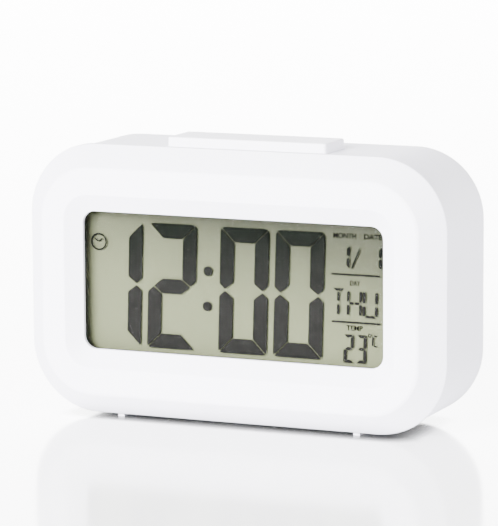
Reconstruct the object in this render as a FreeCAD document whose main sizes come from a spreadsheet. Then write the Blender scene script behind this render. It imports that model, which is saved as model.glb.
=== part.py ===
import FreeCAD, Part

import math
import os
import re

import Sketcher

# A battery desk clock with a large liquid crystal display, in millimetres.
# X runs to the viewer's right, Y from the front to the back, and Z up.
# The origin is on the table under the middle of the whole clock.

V = FreeCAD.Vector

# Driving dimensions. Each one can be changed by itself, and the rest follows.
SIZES = {
    # Shared small sizes: between seated pieces, past a face that a cut opens, a post's root in its
    # wall, and the hair by which a radius stays under half a width
    "seat_gap": 0.05,
    "over": 0.1,
    "root_sink": 0.2,
    "hair": 0.01,
    # Front frame, from the display opening outwards
    "window_width": 97.4,
    "window_height": 42.2,
    "window_radius": 3.9,
    "slope_side": 4.8,
    "slope_top": 5.4,
    "slope_depth": 3.6,
    "slope_radius": 8.0,
    "face_side": 7.2,
    "face_top": 7.95,
    "face_radius": 15.8,
    "bevel_inset": 6.8,
    "bevel_depth": 6.6,
    "rim_radius": 21.8,
    "rim_band": 1.2,
    "bezel_wall": 2.2,
    "hollow_inset": 1.54,
    "collar_wall": 1.76,
    "land": 1.0,
    "rim_round": 0.7,
    "face_round": 1.6,
    "slope_round": 0.9,
    "window_round": 0.3,
    "lip_depth": 2.5,
    "lip_thickness": 1.2,
    "lip_gap": 0.15,
    # Rear shell
    "shell_depth": 37.0,
    "shell_step": 0.6,
    "back_round": 5.0,
    "wall": 2.2,
    "foot_height": 1.0,
    "foot_width": 2.0,
    "foot_length": 9.0,
    "foot_reach": 38.6,
    "foot_setback": 12.0,
    # Case screws and the posts that take them
    "case_screw_x_gap": 9.1,
    "case_screw_height": 24.0,
    "case_post_radius": 3.0,
    "case_post_reach": 6.0,
    "case_boss_wall": 1.2,
    "case_seat": 2.5,
    "case_shank_radius": 1.25,
    "case_head_radius": 2.5,
    "case_head_height": 1.7,
    "case_grip": 7.5,
    "pilot_spare": 0.5,
    "slot_width": 0.5,
    # Display stack
    "pane_thickness": 1.2,
    "pane_overlap": 2.6,
    "mask_depth": 1.2,
    "mask_gap": 0.3,
    "lcd_overlap": 2.4,
    "lcd_ledge": 2.8,
    "lcd_gap": 0.15,
    "film_thickness": 0.2,
    "film_overlap": 1.5,
    "glass_thickness": 0.7,
    "segment_thickness": 0.1,
    "guide_thickness": 2.5,
    "guide_overlap": 0.5,
    "frame_wall": 1.6,
    "ear_width": 8.0,
    "ear_thickness": 2.0,
    "ear_edge": 3.2,
    "zebra_height": 2.1,
    "led_thickness": 1.4,
    "led_length": 3.2,
    "led_pitch": 22.0,
    # Digits and marks on the display
    "digit_width": 15.75,
    "digit_height": 38.2,
    "digit_stroke": 4.5,
    "digit_slant": 0.033,
    "digit_pitch": 17.9,
    "colon_pitch": 23.55,
    "last_digit_x": 20.2,
    "digit_drop": 1.2,
    "digit_corner": 1.3,
    "segment_gap": 0.35,
    "tip_inset": 1.75,
    "tip_rise": 0.3,
    "tip_length": 1.6,
    "small_stroke": 0.95,
    "small_gap": 0.18,
    "colon_radius": 1.47,
    "colon_spread": 10.7,
    # Main board
    "board_gap": 0.4,
    "board_thickness": 1.6,
    "board_width": 104.0,
    "board_height": 69.0,
    "board_screw_spread": 80.0,
    "board_screw_height": 63.0,
    "board_post_radius": 2.4,
    "small_shank_radius": 1.0,
    "small_head_radius": 2.0,
    "small_head_height": 1.3,
    "small_grip": 4.0,
    "cover_x": -10.0,
    "cover_rise": 4.0,
    "cover_radius": 7.0,
    "cover_top_radius": 4.6,
    "cover_height": 1.6,
    "can_x": 6.0,
    "crystal_rise": 10.0,
    "crystal_radius": 1.5,
    "crystal_length": 6.0,
    "capacitor_rise": 1.0,
    "capacitor_radius": 2.5,
    "capacitor_length": 8.0,
    "resistor_x": -24.0,
    "resistor_drop": 10.0,
    "resistor_pitch": 4.0,
    "resistor_row": 3.4,
    "resistor_length": 2.0,
    "resistor_width": 1.25,
    "resistor_height": 0.6,
    "sensor_x": 41.0,
    "sensor_drop": 24.0,
    "bead_radius": 1.3,
    "bead_length": 2.2,
    "leg_radius": 0.25,
    "leg_length": 4.4,
    "leg_spread": 0.6,
    # Battery bay, cells and contacts
    "cell_diameter": 10.5,
    "cell_length": 44.5,
    "cell_gap": 0.7,
    "cell_clearance": 0.1,
    "nub_radius": 1.9,
    "nub_height": 0.8,
    "spring_length": 5.2,
    "spring_wire": 0.5,
    "spring_turns": 3,
    "spring_foot_radius": 3.6,
    "spring_tip_radius": 2.4,
    "plate_thickness": 0.4,
    "plate_size": 9.0,
    "tab_width": 4.0,
    "tab_reach": 3.6,
    "bay_wall": 2.4,
    "bay_floor": 1.6,
    "bay_low_room": 5.9,
    "bay_top_gap": 1.05,
    "bay_door_gap": 0.3,
    "rib_thickness": 1.0,
    "rib_height": 1.8,
    "rib_length": 30.0,
    # Battery door
    "door_lift": 8.0,
    "door_overlap": 2.0,
    "door_thickness": 2.0,
    "door_gap": 0.25,
    "door_radius": 1.6,
    "hook_width": 6.0,
    "hook_spread": 36.0,
    "hook_drop": 2.5,
    "hook_thickness": 1.25,
    "hook_overlap": 3.0,
    "hook_gap": 0.4,
    "hook_play": 0.15,
    "tongue_width": 14.0,
    "tongue_length": 8.0,
    "tongue_slot": 1.0,
    "thumb_width": 10.0,
    "thumb_height": 4.6,
    "thumb_depth": 0.8,
    "thumb_rib": 0.5,
    # Buttons on the back
    "key_gap_above": 16.0,
    "key_pitch": 15.0,
    "first_key_x": -30.0,
    "key_width": 9.0,
    "key_height": 5.5,
    "key_rise": 0.8,
    "key_clearance": 0.25,
    "key_flange": 1.0,
    "key_shoulder": 0.8,
    "key_travel": 0.6,
    "key_board_depth": 1.6,
    "key_board_side": 7.5,
    "key_board_foot": 6.6,
    "key_board_height": 15.3,
    "first_screw_reach": 8.2,
    "middle_screw_drop": 3.6,
    "last_screw_reach": 8.0,
    "tact_size": 6.0,
    "tact_depth": 3.5,
    "tact_air": 0.7,
    "plunger_radius": 1.75,
    "plunger_depth": 1.0,
    "sliding_gap": 0.05,
    # Slide switch on the back
    "slide_x": 31.0,
    "slide_length": 8.6,
    "slide_height": 3.7,
    "knob_length": 2.6,
    "knob_height": 2.0,
    "knob_radius": 0.4,
    "knob_rise": 0.6,
    "knob_depth": 2.0,
    "knob_travel": 2.0,
    # Snooze bar on the top
    "bar_width": 51.4,
    "bar_depth": 15.0,
    "bar_rise": 2.5,
    "bar_shift": 2.0,
    "bar_setback": 4.5,
    "bar_radius": 1.0,
    "bar_round": 0.6,
    "bar_gap": 0.25,
    "bar_flange": 1.0,
    "bar_hook": 1.5,
    "bar_wall": 1.6,
    "bar_web": 8.0,
    "bar_travel": 1.2,
    "snooze_board_width": 34.0,
    "snooze_screw_spread": 26.0,
    "snooze_screw_setback": 4.0,
    "snooze_board_edge": 3.0,
    "snooze_board_gap": 0.8,
    # Buzzer and its sound slots
    "buzzer_radius": 10.0,
    "buzzer_depth": 4.5,
    "buzzer_ring": 1.2,
    "buzzer_ring_depth": 2.7,
    "buzzer_gap": 0.2,
    "buzzer_mouth_radius": 1.6,
    "buzzer_mouth_depth": 1.5,
    "buzzer_side_gap": 6.0,
    "sound_slot_width": 1.2,
    "sound_slot_pitch": 3.0,
    "sound_radius": 7.6,
    # Leads
    "lead_radius": 0.6,
    "lead_way_out": 3.0,
    "lead_way_in": 3.6,
    "lead_step": 4.0,
    "buzzer_lead_spread": 2.0,
    "buzzer_lead_way": 5.0,
    "buzzer_lead_rise": 6.0,
    "snooze_lead_x": 9.0,
    "snooze_lead_pitch": 3.0,
    "snooze_lead_drop": 5.0,
    "ribbon_width": 8.0,
    "ribbon_thickness": 0.6,
    "ribbon_x": 4.0,
    "ribbon_drop": 4.0,
    "ribbon_way": 6.0,
}

# Places that several pieces share, each worked out from the sizes.
PLACES = {
    "case_width": "window_width + 2 * (slope_side + face_side + bevel_inset)",
    "case_height": "window_height + 2 * (slope_top + face_top + bevel_inset)",
    "mid_z": "foot_height + case_height / 2",
    "front_y": "-(bevel_depth + shell_depth + key_rise) / 2",
    "rim_y": "front_y + bevel_depth",
    "shell_y": "rim_y + rim_band",
    "back_y": "rim_y + shell_depth",
    "wall_y": "back_y - wall",
    "shell_width": "case_width - 2 * shell_step",
    "shell_height": "case_height - 2 * shell_step",
    "shell_radius": "rim_radius - shell_step",
    "room_width": "shell_width - 2 * wall",
    "room_height": "shell_height - 2 * wall",
    "room_radius": "shell_radius - wall",
    "lip_width": "room_width - 2 * lip_gap",
    "lip_height": "room_height - 2 * lip_gap",
    "lip_radius": "room_radius - lip_gap",
    # Display stack, from the opening backwards
    "window_y": "front_y + slope_depth",
    "pane_y": "window_y + land",
    "mask_y": "pane_y + pane_thickness",
    "lcd_y": "mask_y + mask_depth",
    "front_glass_y": "lcd_y + film_thickness",
    "segment_y": "front_glass_y + glass_thickness",
    "rear_glass_y": "segment_y + segment_thickness",
    "reflector_y": "rear_glass_y + glass_thickness",
    "guide_y": "reflector_y + film_thickness",
    "board_y": "guide_y + guide_thickness + board_gap",
    "board_back_y": "board_y + board_thickness",
    "lcd_width": "window_width + 2 * lcd_overlap",
    "lcd_height": "window_height + 2 * lcd_overlap + lcd_ledge",
    "lcd_mid_z": "mid_z - lcd_ledge / 2",
    "rear_glass_height": "window_height + 2 * lcd_overlap",
    # Case screws
    "case_screw_x": "window_width / 2 + case_screw_x_gap",
    "post_end_y": "shell_y + case_post_reach",
    "case_head_y": "post_end_y + seat_gap + case_seat",
    # Battery bay
    "cell_pitch": "cell_diameter + cell_gap",
    "bay_half": "(cell_length + spring_length) / 2 + plate_thickness + 2 * seat_gap",
    "bay_high_room": "cell_diameter / 2 + bay_top_gap",
    "door_low": "foot_height + shell_step + door_lift",
    "bay_low": "door_low - hook_drop - hook_gap",
    "cell_z": "bay_low + bay_low_room + cell_diameter / 2",
    "bay_high": "cell_z + 2 * cell_pitch + bay_high_room",
    "bay_y": "wall_y - cell_diameter - cell_clearance - bay_door_gap",
    "cell_y": "bay_y + cell_clearance + cell_diameter / 2",
    "door_high": "bay_high + door_overlap",
    "door_half": "bay_half + door_overlap",
    "door_y": "back_y - door_thickness",
    # Buttons
    "key_z": "door_high + key_gap_above",
    "key_flange_y": "wall_y - seat_gap - key_flange",
    "tact_y": "key_flange_y - tact_air",
    "key_board_y": "tact_y - tact_depth",
    "key_board_front_y": "key_board_y - key_board_depth",
    "plunger_y": "tact_y - plunger_depth",
    # Snooze bar
    "case_top": "mid_z + case_height / 2",
    "bar_y": "rim_y + bar_setback",
    "bar_top": "case_top + bar_rise",
    "shell_top": "case_top - shell_step",
    "bar_stop": "mid_z + room_height / 2 - seat_gap",
    "bar_low": "bar_stop - bar_flange",
    "snooze_tact_z": "bar_low - bar_travel - 2 * seat_gap",
    "snooze_board_z": "snooze_tact_z - tact_depth",
    "snooze_mid_y": "bar_y + bar_depth / 2",
    "snooze_board_front": "board_back_y + snooze_board_gap",
    "snooze_screw_y": "bar_y + bar_depth + snooze_screw_setback",
    "snooze_board_back": "snooze_screw_y + snooze_board_edge",
    # Buzzer
    "buzzer_x": "-(bay_half + bay_wall + buzzer_side_gap + buzzer_radius)",
    "buzzer_z": "cell_z + cell_pitch",
}

# Where the key board's screws go
KEY_SCREWS = (
    ("first_key_x - first_screw_reach", "key_z"),
    ("first_key_x + 1.5 * key_pitch", "key_z - key_height / 2 - middle_screw_drop"),
    ("slide_x + last_screw_reach", "key_z"),
)
# The buttons from left to right
KEYS = ("mode", "set", "up", "down")
# The side and the cell row of the two end contacts
TERMINALS = (("", 2), ("-", 0))

doc = FreeCAD.newDocument("clock")
PARTS = []


def make_sheets():
    """Puts the sizes in a sheet, the shared places in a set beside it, and a gauge to read them with."""
    sheet = doc.addObject("Spreadsheet::Sheet", "Sizes")
    for row, (name, size) in enumerate(SIZES.items(), start=1):
        sheet.set(f"A{row}", name)
        sheet.set(f"B{row}", str(size))
        sheet.setAlias(f"B{row}", name)
    doc.recompute()
    places = doc.addObject("App::VarSet", "Places")
    for name, expression in PLACES.items():
        places.addProperty("App::PropertyFloat", name, "Places")
        places.setExpression(name, bound(expression))
    gauge = doc.addObject("App::VarSet", "Gauge")
    gauge.addProperty("App::PropertyFloat", "reading", "Gauge")
    doc.recompute()
    return gauge


def bound(expression):
    """The expression with each size and place led by the name of the object that holds it."""
    def lead(match):
        word = match.group()
        if word in SIZES:
            return "Sizes." + word
        if word in PLACES:
            return "Places." + word
        return word
    return re.sub(r"[a-z_]+", lead, expression)


gauge = make_sheets()


def number(expression):
    """What an expression over the sizes and places comes to."""
    gauge.setExpression("reading", bound(expression))
    gauge.recompute()
    return gauge.reading


def point(across, deep, high):
    """The point that three expressions give."""
    return V(number(across), number(deep), number(high))


def tie(item, **links):
    """Binds properties of an item to expressions; x, y and z stand for its place."""
    paths = {"x": "Placement.Base.x", "y": "Placement.Base.y", "z": "Placement.Base.z"}
    for name, expression in links.items():
        item.setExpression(paths.get(name, name), bound(expression))


def keep(piece, label):
    """Names a finished sub-part and puts it on the list of what is written."""
    piece.Label = label
    PARTS.append(piece)
    return piece


# How a rod that is made along Z is turned to lie along another axis
LYING = {
    "x": FreeCAD.Rotation(V(0, 1, 0), 90),
    "y": FreeCAD.Rotation(V(1, 0, 0), -90),
    "z": FreeCAD.Rotation(),
}


def set_box(item, low, size):
    """Sizes a box and puts its low corner in place."""
    tie(item, x=low[0], y=low[1], z=low[2], Length=size[0], Width=size[1], Height=size[2])
    return item


def set_rod(item, axis, start, radius, length):
    """Sizes a cylinder that leaves its start along an axis."""
    item.Placement = FreeCAD.Placement(V(), LYING[axis])
    tie(item, x=start[0], y=start[1], z=start[2], Radius=radius, Height=length)
    return item


def box(name, low, size):
    """A block of its own."""
    return set_box(doc.addObject("Part::Box", name), low, size)


def rod(name, axis, start, radius, length):
    """A cylinder of its own."""
    return set_rod(doc.addObject("Part::Cylinder", name), axis, start, radius, length)


def cut(name, base, tools):
    """A piece less one or more tools."""
    for count, tool in enumerate(tools):
        result = doc.addObject("Part::Cut", f"{name}_cut{count}")
        result.Base = base
        result.Tool = tool
        base = result
    return base


def fuse(name, shapes):
    """Several shapes made one solid."""
    result = doc.addObject("Part::MultiFuse", name)
    result.Shapes = shapes
    return result


def group(name, shapes):
    """Like pieces that stay separate solids under one name."""
    result = doc.addObject("Part::Compound", name)
    result.Links = shapes
    return result


def new_body(name):
    """An empty body for a moulded piece."""
    return doc.addObject("PartDesign::Body", name)


def add_box(body, name, low, size):
    """Adds a block to a moulded piece."""
    return set_box(body.newObject("PartDesign::AdditiveBox", name), low, size)


def take_box(body, name, low, size):
    """Takes a block out of a moulded piece."""
    return set_box(body.newObject("PartDesign::SubtractiveBox", name), low, size)


def add_rod(body, name, axis, start, radius, length):
    """Adds a cylinder to a moulded piece."""
    return set_rod(body.newObject("PartDesign::AdditiveCylinder", name), axis, start, radius, length)


def take_rod(body, name, axis, start, radius, length):
    """Takes a cylinder out of a moulded piece."""
    return set_rod(body.newObject("PartDesign::SubtractiveCylinder", name), axis, start, radius, length)


def outline(body, name, level, width, height, radius, across="0", along="mid_z", plane="XZ_Plane"):
    """A rounded rectangle: upright at the depth that level gives, or flat at that height."""
    sketch = body.newObject("Sketcher::SketchObject", name)
    support = next(item for item in body.Origin.OriginFeatures if item.Role == plane)
    sketch.AttachmentSupport = [(support, "")]
    sketch.MapMode = "FlatFace"
    sketch.setExpression("AttachmentOffset.Base.x", bound(across))
    sketch.setExpression("AttachmentOffset.Base.y", bound(along))
    lift = f"-({level})" if plane == "XZ_Plane" else level
    sketch.setExpression("AttachmentOffset.Base.z", bound(lift))
    half_w = number(width) / 2
    half_h = number(height) / 2
    r = number(radius)
    line_ends = [
        ((r - half_w, -half_h), (half_w - r, -half_h)),
        ((half_w, r - half_h), (half_w, half_h - r)),
        ((half_w - r, half_h), (r - half_w, half_h)),
        ((-half_w, half_h - r), (-half_w, r - half_h)),
    ]
    centre_x, centre_y = half_w - r, half_h - r
    centres = [(centre_x, -centre_y), (centre_x, centre_y), (-centre_x, centre_y), (-centre_x, -centre_y)]
    for side in range(4):
        start, end = line_ends[side]
        sketch.addGeometry(Part.LineSegment(V(*start), V(*end)), False)
        circle = Part.Circle(V(*centres[side]), V(0, 0, 1), r)
        first_angle = math.radians(90 * (side - 1))
        sketch.addGeometry(Part.ArcOfCircle(circle, first_angle, first_angle + math.pi / 2), False)
    for side in range(4):
        line, arc, following = 2 * side, 2 * side + 1, (2 * side + 2) % 8
        sketch.addConstraint(Sketcher.Constraint("Tangent", line, 2, arc, 1))
        sketch.addConstraint(Sketcher.Constraint("Tangent", arc, 2, following, 1))
    for arc in (3, 5, 7):
        sketch.addConstraint(Sketcher.Constraint("Equal", 1, arc))
    sketch.addConstraint(Sketcher.Constraint("Horizontal", 4))
    sketch.addConstraint(Sketcher.Constraint("Vertical", 6))
    sketch.addConstraint(Sketcher.Constraint("Symmetric", 0, 1, 0, 2, -2))
    sketch.addConstraint(Sketcher.Constraint("Symmetric", 2, 1, 2, 2, -1))
    measures = (
        ("width", Sketcher.Constraint("DistanceX", 6, 1, 2, 2, 2 * half_w), width),
        ("height", Sketcher.Constraint("DistanceY", 0, 1, 4, 2, 2 * half_h), height),
        ("radius", Sketcher.Constraint("Radius", 1, r), radius),
    )
    for title, constraint, expression in measures:
        sketch.renameConstraint(sketch.addConstraint(constraint), title)
        sketch.setExpression(f"Constraints.{title}", bound(expression))
    return sketch


def pad(body, name, sketch, length, backwards=True):
    """Carries an outline towards the back, or upwards where backwards is false."""
    feature = body.newObject("PartDesign::Pad", name)
    feature.Profile = sketch
    feature.Reversed = backwards
    feature.setExpression("Length", bound(length))
    return feature


def pocket(body, name, sketch, length, forwards=False):
    """Sinks an outline towards the back, or towards the front where forwards is true."""
    feature = body.newObject("PartDesign::Pocket", name)
    feature.Profile = sketch
    feature.Reversed = forwards
    feature.setExpression("Length", bound(length))
    return feature


def loft(body, kind, name, first, second):
    """Straight walls between two outlines, added or taken away."""
    feature = body.newObject(f"PartDesign::{kind}Loft", name)
    feature.Profile = first
    feature.Sections = [second]
    feature.Ruled = True
    return feature


def round_edges(body, name, radius, chosen):
    """Rounds the edges of a body whose bounds pass the test."""
    body.recompute(True)
    base = body.Tip
    edges = [f"Edge{at}" for at, edge in enumerate(base.Shape.Edges, start=1) if chosen(edge.BoundBox)]
    feature = body.newObject("PartDesign::Fillet", name)
    feature.Base = (base, edges)
    feature.setExpression("Radius", bound(radius))
    return feature


def level_with(low, high, level):
    """Whether an edge's two bounds lie at one level."""
    return abs(low - level) < 0.01 and abs(high - level) < 0.01


def make_front_bezel():
    """The front frame: a bevelled face, a sloping way in to the display, a lip and eight posts."""
    body = new_body("bezel_body")
    face_width = "case_width - 2 * bevel_inset"
    face_height = "case_height - 2 * bevel_inset"
    rim = outline(body, "rim_outline", "rim_y", "case_width", "case_height", "rim_radius")
    face = outline(body, "face_outline", "front_y", face_width, face_height, "face_radius")
    loft(body, "Additive", "bevel", rim, face)
    band = outline(body, "band_outline", "rim_y", "case_width", "case_height", "rim_radius")
    pad(body, "band", band, "rim_band")
    lip = outline(body, "lip_outline", "shell_y", "lip_width", "lip_height", "lip_radius")
    pad(body, "lip", lip, "lip_depth")
    front_y, rim_y = number("front_y"), number("rim_y")
    round_edges(body, "face_rounding", "face_round", lambda b: level_with(b.YMin, b.YMax, front_y))
    round_edges(body, "rim_rounding", "rim_round", lambda b: level_with(b.YMin, b.YMax, rim_y))

    # The hollow behind the face
    inner_width = "lip_width - 2 * lip_thickness"
    inner_height = "lip_height - 2 * lip_thickness"
    inner_radius = "lip_radius - lip_thickness"
    mouth = outline(body, "mouth_outline", "shell_y + lip_depth", inner_width, inner_height, inner_radius)
    pocket(body, "mouth", mouth, "shell_y + lip_depth - rim_y", forwards=True)
    wide = outline(body, "wide_outline", "rim_y", inner_width, inner_height, inner_radius)
    narrow = outline(
        body, "narrow_outline", "front_y + bezel_wall", f"{face_width} - 2 * hollow_inset",
        f"{face_height} - 2 * hollow_inset", "face_radius - bezel_wall",
    )
    loft(body, "Subtractive", "hollow", wide, narrow)

    # The display opening, with walls that slope in to it
    slope_width = "window_width + 2 * slope_side"
    slope_height = "window_height + 2 * slope_top"
    collar = outline(
        body, "collar_outline", "front_y + bezel_wall / 2", f"{slope_width} + 2 * collar_wall",
        f"{slope_height} + 2 * collar_wall", "slope_radius + bezel_wall / 2",
    )
    pad(body, "collar", collar, "pane_y - front_y - bezel_wall / 2")
    outer = outline(body, "slope_outline", "front_y", slope_width, slope_height, "slope_radius")
    inner = outline(body, "foot_outline", "window_y", "window_width", "window_height", "window_radius")
    loft(body, "Subtractive", "slope", outer, inner)
    opening = outline(body, "opening_outline", "window_y", "window_width", "window_height", "window_radius")
    pocket(body, "opening", opening, "land")
    reach_x, reach_z = number(slope_width) / 2, number(slope_height) / 2
    mid_z, window_y = number("mid_z"), number("window_y")

    def round_way_in(b):
        inside = max(abs(b.XMin), abs(b.XMax)) < reach_x + 0.01 and b.ZMax - mid_z < reach_z + 0.01
        return inside and b.ZMin - mid_z > -reach_z - 0.01 and level_with(b.YMin, b.YMax, front_y)

    round_edges(body, "slope_rounding", "slope_round", round_way_in)
    round_edges(body, "window_rounding", "window_round", lambda b: level_with(b.YMin, b.YMax, window_y))

    # Posts for the case screws and for the display frame's screws
    for side in ("", "-"):
        for rise in ("+", "-"):
            tag = ("right" if not side else "left") + ("_high" if rise == "+" else "_low")
            across, high = f"{side}case_screw_x", f"mid_z {rise} case_screw_height"
            start = (across, "front_y + bezel_wall - root_sink", high)
            add_rod(body, f"case_post_{tag}", "y", start, "case_post_radius",
                    "post_end_y - front_y - bezel_wall + root_sink")
            across, high = f"{side}board_screw_spread / 2", f"mid_z {rise} board_screw_height / 2"
            start = (across, "front_y + bezel_wall - root_sink", high)
            add_rod(body, f"board_post_{tag}", "y", start, "board_post_radius",
                    "board_y - ear_thickness - seat_gap - front_y - bezel_wall + root_sink")
    for side in ("", "-"):
        for rise in ("+", "-"):
            tag = ("right" if not side else "left") + ("_high" if rise == "+" else "_low")
            across, high = f"{side}case_screw_x", f"mid_z {rise} case_screw_height"
            depth = "case_grip + pilot_spare"
            take_rod(body, f"case_pilot_{tag}", "y", (across, f"post_end_y - ({depth})", high),
                     "case_shank_radius + seat_gap", f"{depth} + over")
            across, high = f"{side}board_screw_spread / 2", f"mid_z {rise} board_screw_height / 2"
            start = (across, "board_y - ear_thickness - small_grip - pilot_spare", high)
            take_rod(body, f"board_pilot_{tag}", "y", start, "small_shank_radius + seat_gap",
                     "small_grip + pilot_spare")
    keep(body, "front_bezel")


def make_rear_case():
    """The rear shell, with the battery bay, posts, feet and every hole through its walls."""
    body = new_body("rear_body")
    edge = outline(body, "shell_outline", "shell_y", "shell_width", "shell_height", "shell_radius")
    pad(body, "shell", edge, "shell_depth - rim_band")
    back_y = number("back_y")
    round_edges(body, "back_rounding", "back_round", lambda b: level_with(b.YMin, b.YMax, back_y))
    edge = outline(body, "room_outline", "shell_y", "room_width", "room_height", "room_radius")
    pocket(body, "room", edge, "wall_y - shell_y")

    # Four small ribs under the shell that it stands on
    for side in ("", "-"):
        for place in ("front", "rear"):
            start_y = "shell_y" if place == "front" else "back_y - back_round - foot_setback"
            tag = ("right" if not side else "left") + "_" + place
            add_box(body, f"foot_{tag}", (f"{side}foot_reach - foot_width / 2", start_y, "0"),
                    ("foot_width", "foot_length", "foot_height + shell_step + wall - root_sink"))

    # The battery bay: a box on the inside of the back wall
    add_box(body, "bay_block",
            ("-bay_half - bay_wall", "bay_y - bay_floor", "bay_low - bay_wall"),
            ("2 * (bay_half + bay_wall)", "wall_y - bay_y + bay_floor + root_sink",
             "bay_high - bay_low + 2 * bay_wall"))

    # Bosses for the case screws, posts for the two small boards, and a ring for the buzzer
    for side in ("", "-"):
        for rise in ("+", "-"):
            tag = ("right" if not side else "left") + ("_high" if rise == "+" else "_low")
            start = (f"{side}case_screw_x", "post_end_y + seat_gap", f"mid_z {rise} case_screw_height")
            add_rod(body, f"case_boss_{tag}", "y", start, "case_head_radius + key_clearance + case_boss_wall",
                    "wall_y + wall / 2 - post_end_y - seat_gap")
    for at, (across, high) in enumerate(KEY_SCREWS):
        add_rod(body, f"key_post{at}", "y", (across, "key_board_y", high), "small_head_radius",
                "wall_y + wall / 2 - key_board_y")
    for side in ("+", "-"):
        tag = "right" if side == "+" else "left"
        start = (f"bar_shift {side} snooze_screw_spread / 2", "snooze_screw_y", "snooze_board_z")
        add_rod(body, f"snooze_post_{tag}", "z", start, "small_head_radius",
                "shell_top - wall / 2 - snooze_board_z")
    add_rod(body, "buzzer_ring", "y", ("buzzer_x", "wall_y - buzzer_ring_depth", "buzzer_z"),
            "buzzer_radius + buzzer_gap + buzzer_ring", "buzzer_ring_depth + root_sink")

    # The room in the bay, with low ribs that part the cells
    take_box(body, "bay_room", ("-bay_half", "bay_y", "bay_low"),
             ("2 * bay_half", "wall_y - bay_y", "bay_high - bay_low"))
    for at in range(4):
        add_box(body, f"cell_rib{at}",
                ("-rib_length / 2", "bay_y - root_sink",
                 f"cell_z + ({at} - 0.5) * cell_pitch - rib_thickness / 2"),
                ("rib_length", "rib_height + root_sink", "rib_thickness"))

    # Holes: the door's opening, contact tabs, buttons, the slide knob, the bar, screws and sound slots
    opening = outline(body, "door_opening", "wall_y", "2 * (door_half + door_gap)",
                      "door_high - door_low + 2 * door_gap", "door_radius",
                      along="(door_low + door_high) / 2")
    pocket(body, "door_hole", opening, "wall + over")
    for side, row in TERMINALS:
        take_box(body, "tab_slot_" + ("right" if side == "" else "left"),
                 (f"{side}(bay_half - plate_thickness / 2 - seat_gap) - plate_thickness / 2 - 2 * seat_gap",
                  "bay_y - bay_floor - over", f"cell_z + {row} * cell_pitch - tab_width / 2 - 2 * seat_gap"),
                 ("plate_thickness + 4 * seat_gap", "bay_floor + 2 * over", "tab_width + 4 * seat_gap"))
    for at, name in enumerate(KEYS):
        hole = outline(body, f"{name}_hole", "wall_y - over", "key_width + 2 * key_clearance",
                       "key_height + 2 * key_clearance", "key_height / 2 + key_clearance - hair",
                       across=f"first_key_x + {at} * key_pitch", along="key_z")
        pocket(body, f"{name}_opening", hole, "wall + 2 * over")
    slot = outline(body, "knob_slot", "wall_y - over", "knob_length + knob_travel + 2 * key_clearance",
                   "knob_height + 2 * key_clearance", "knob_height / 2 + key_clearance - hair",
                   across="slide_x", along="key_z")
    pocket(body, "knob_opening", slot, "wall + 2 * over")
    hole = outline(body, "bar_hole", "bar_stop", "bar_width + 2 * bar_gap", "bar_depth + 2 * bar_gap",
                   "bar_radius + bar_gap", across="bar_shift", along="snooze_mid_y", plane="XY_Plane")
    pocket(body, "bar_opening", hole, "bar_top - bar_stop", forwards=True)
    for side in ("", "-"):
        for rise in ("+", "-"):
            tag = ("right" if not side else "left") + ("_high" if rise == "+" else "_low")
            across, high = f"{side}case_screw_x", f"mid_z {rise} case_screw_height"
            take_rod(body, f"case_well_{tag}", "y", (across, "case_head_y", high),
                     "case_head_radius + key_clearance", "back_y - case_head_y + over")
            take_rod(body, f"case_through_{tag}", "y", (across, "post_end_y", high),
                     "case_shank_radius + seat_gap", "case_seat + 2 * seat_gap")
    for at, (across, high) in enumerate(KEY_SCREWS):
        take_rod(body, f"key_pilot{at}", "y", (across, "key_board_y - over", high),
                 "small_shank_radius + seat_gap", "small_grip + pilot_spare")
    for side in ("+", "-"):
        tag = "right" if side == "+" else "left"
        start = (f"bar_shift {side} snooze_screw_spread / 2", "snooze_screw_y", "snooze_board_z - over")
        take_rod(body, f"snooze_pilot_{tag}", "z", start, "small_shank_radius + seat_gap",
                 "small_grip + pilot_spare")
    take_rod(body, "buzzer_seat", "y", ("buzzer_x", "wall_y - buzzer_depth", "buzzer_z"),
             "buzzer_radius + buzzer_gap", "buzzer_depth")
    radius, pitch = number("sound_radius"), number("sound_slot_pitch")
    reach = int(radius // pitch)
    for at in range(-reach, reach + 1):
        half = f"sqrt(sound_radius ^ 2 - ({at} * sound_slot_pitch) ^ 2)"
        name = f"sound_slot{at + reach}"
        take_box(body, name, (f"buzzer_x + ({at}) * sound_slot_pitch - sound_slot_width / 2", "wall_y - over",
                              f"buzzer_z - {half}"),
                 ("sound_slot_width", "wall + 2 * over", f"2 * {half}"))
    keep(body, "rear_case")


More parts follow.
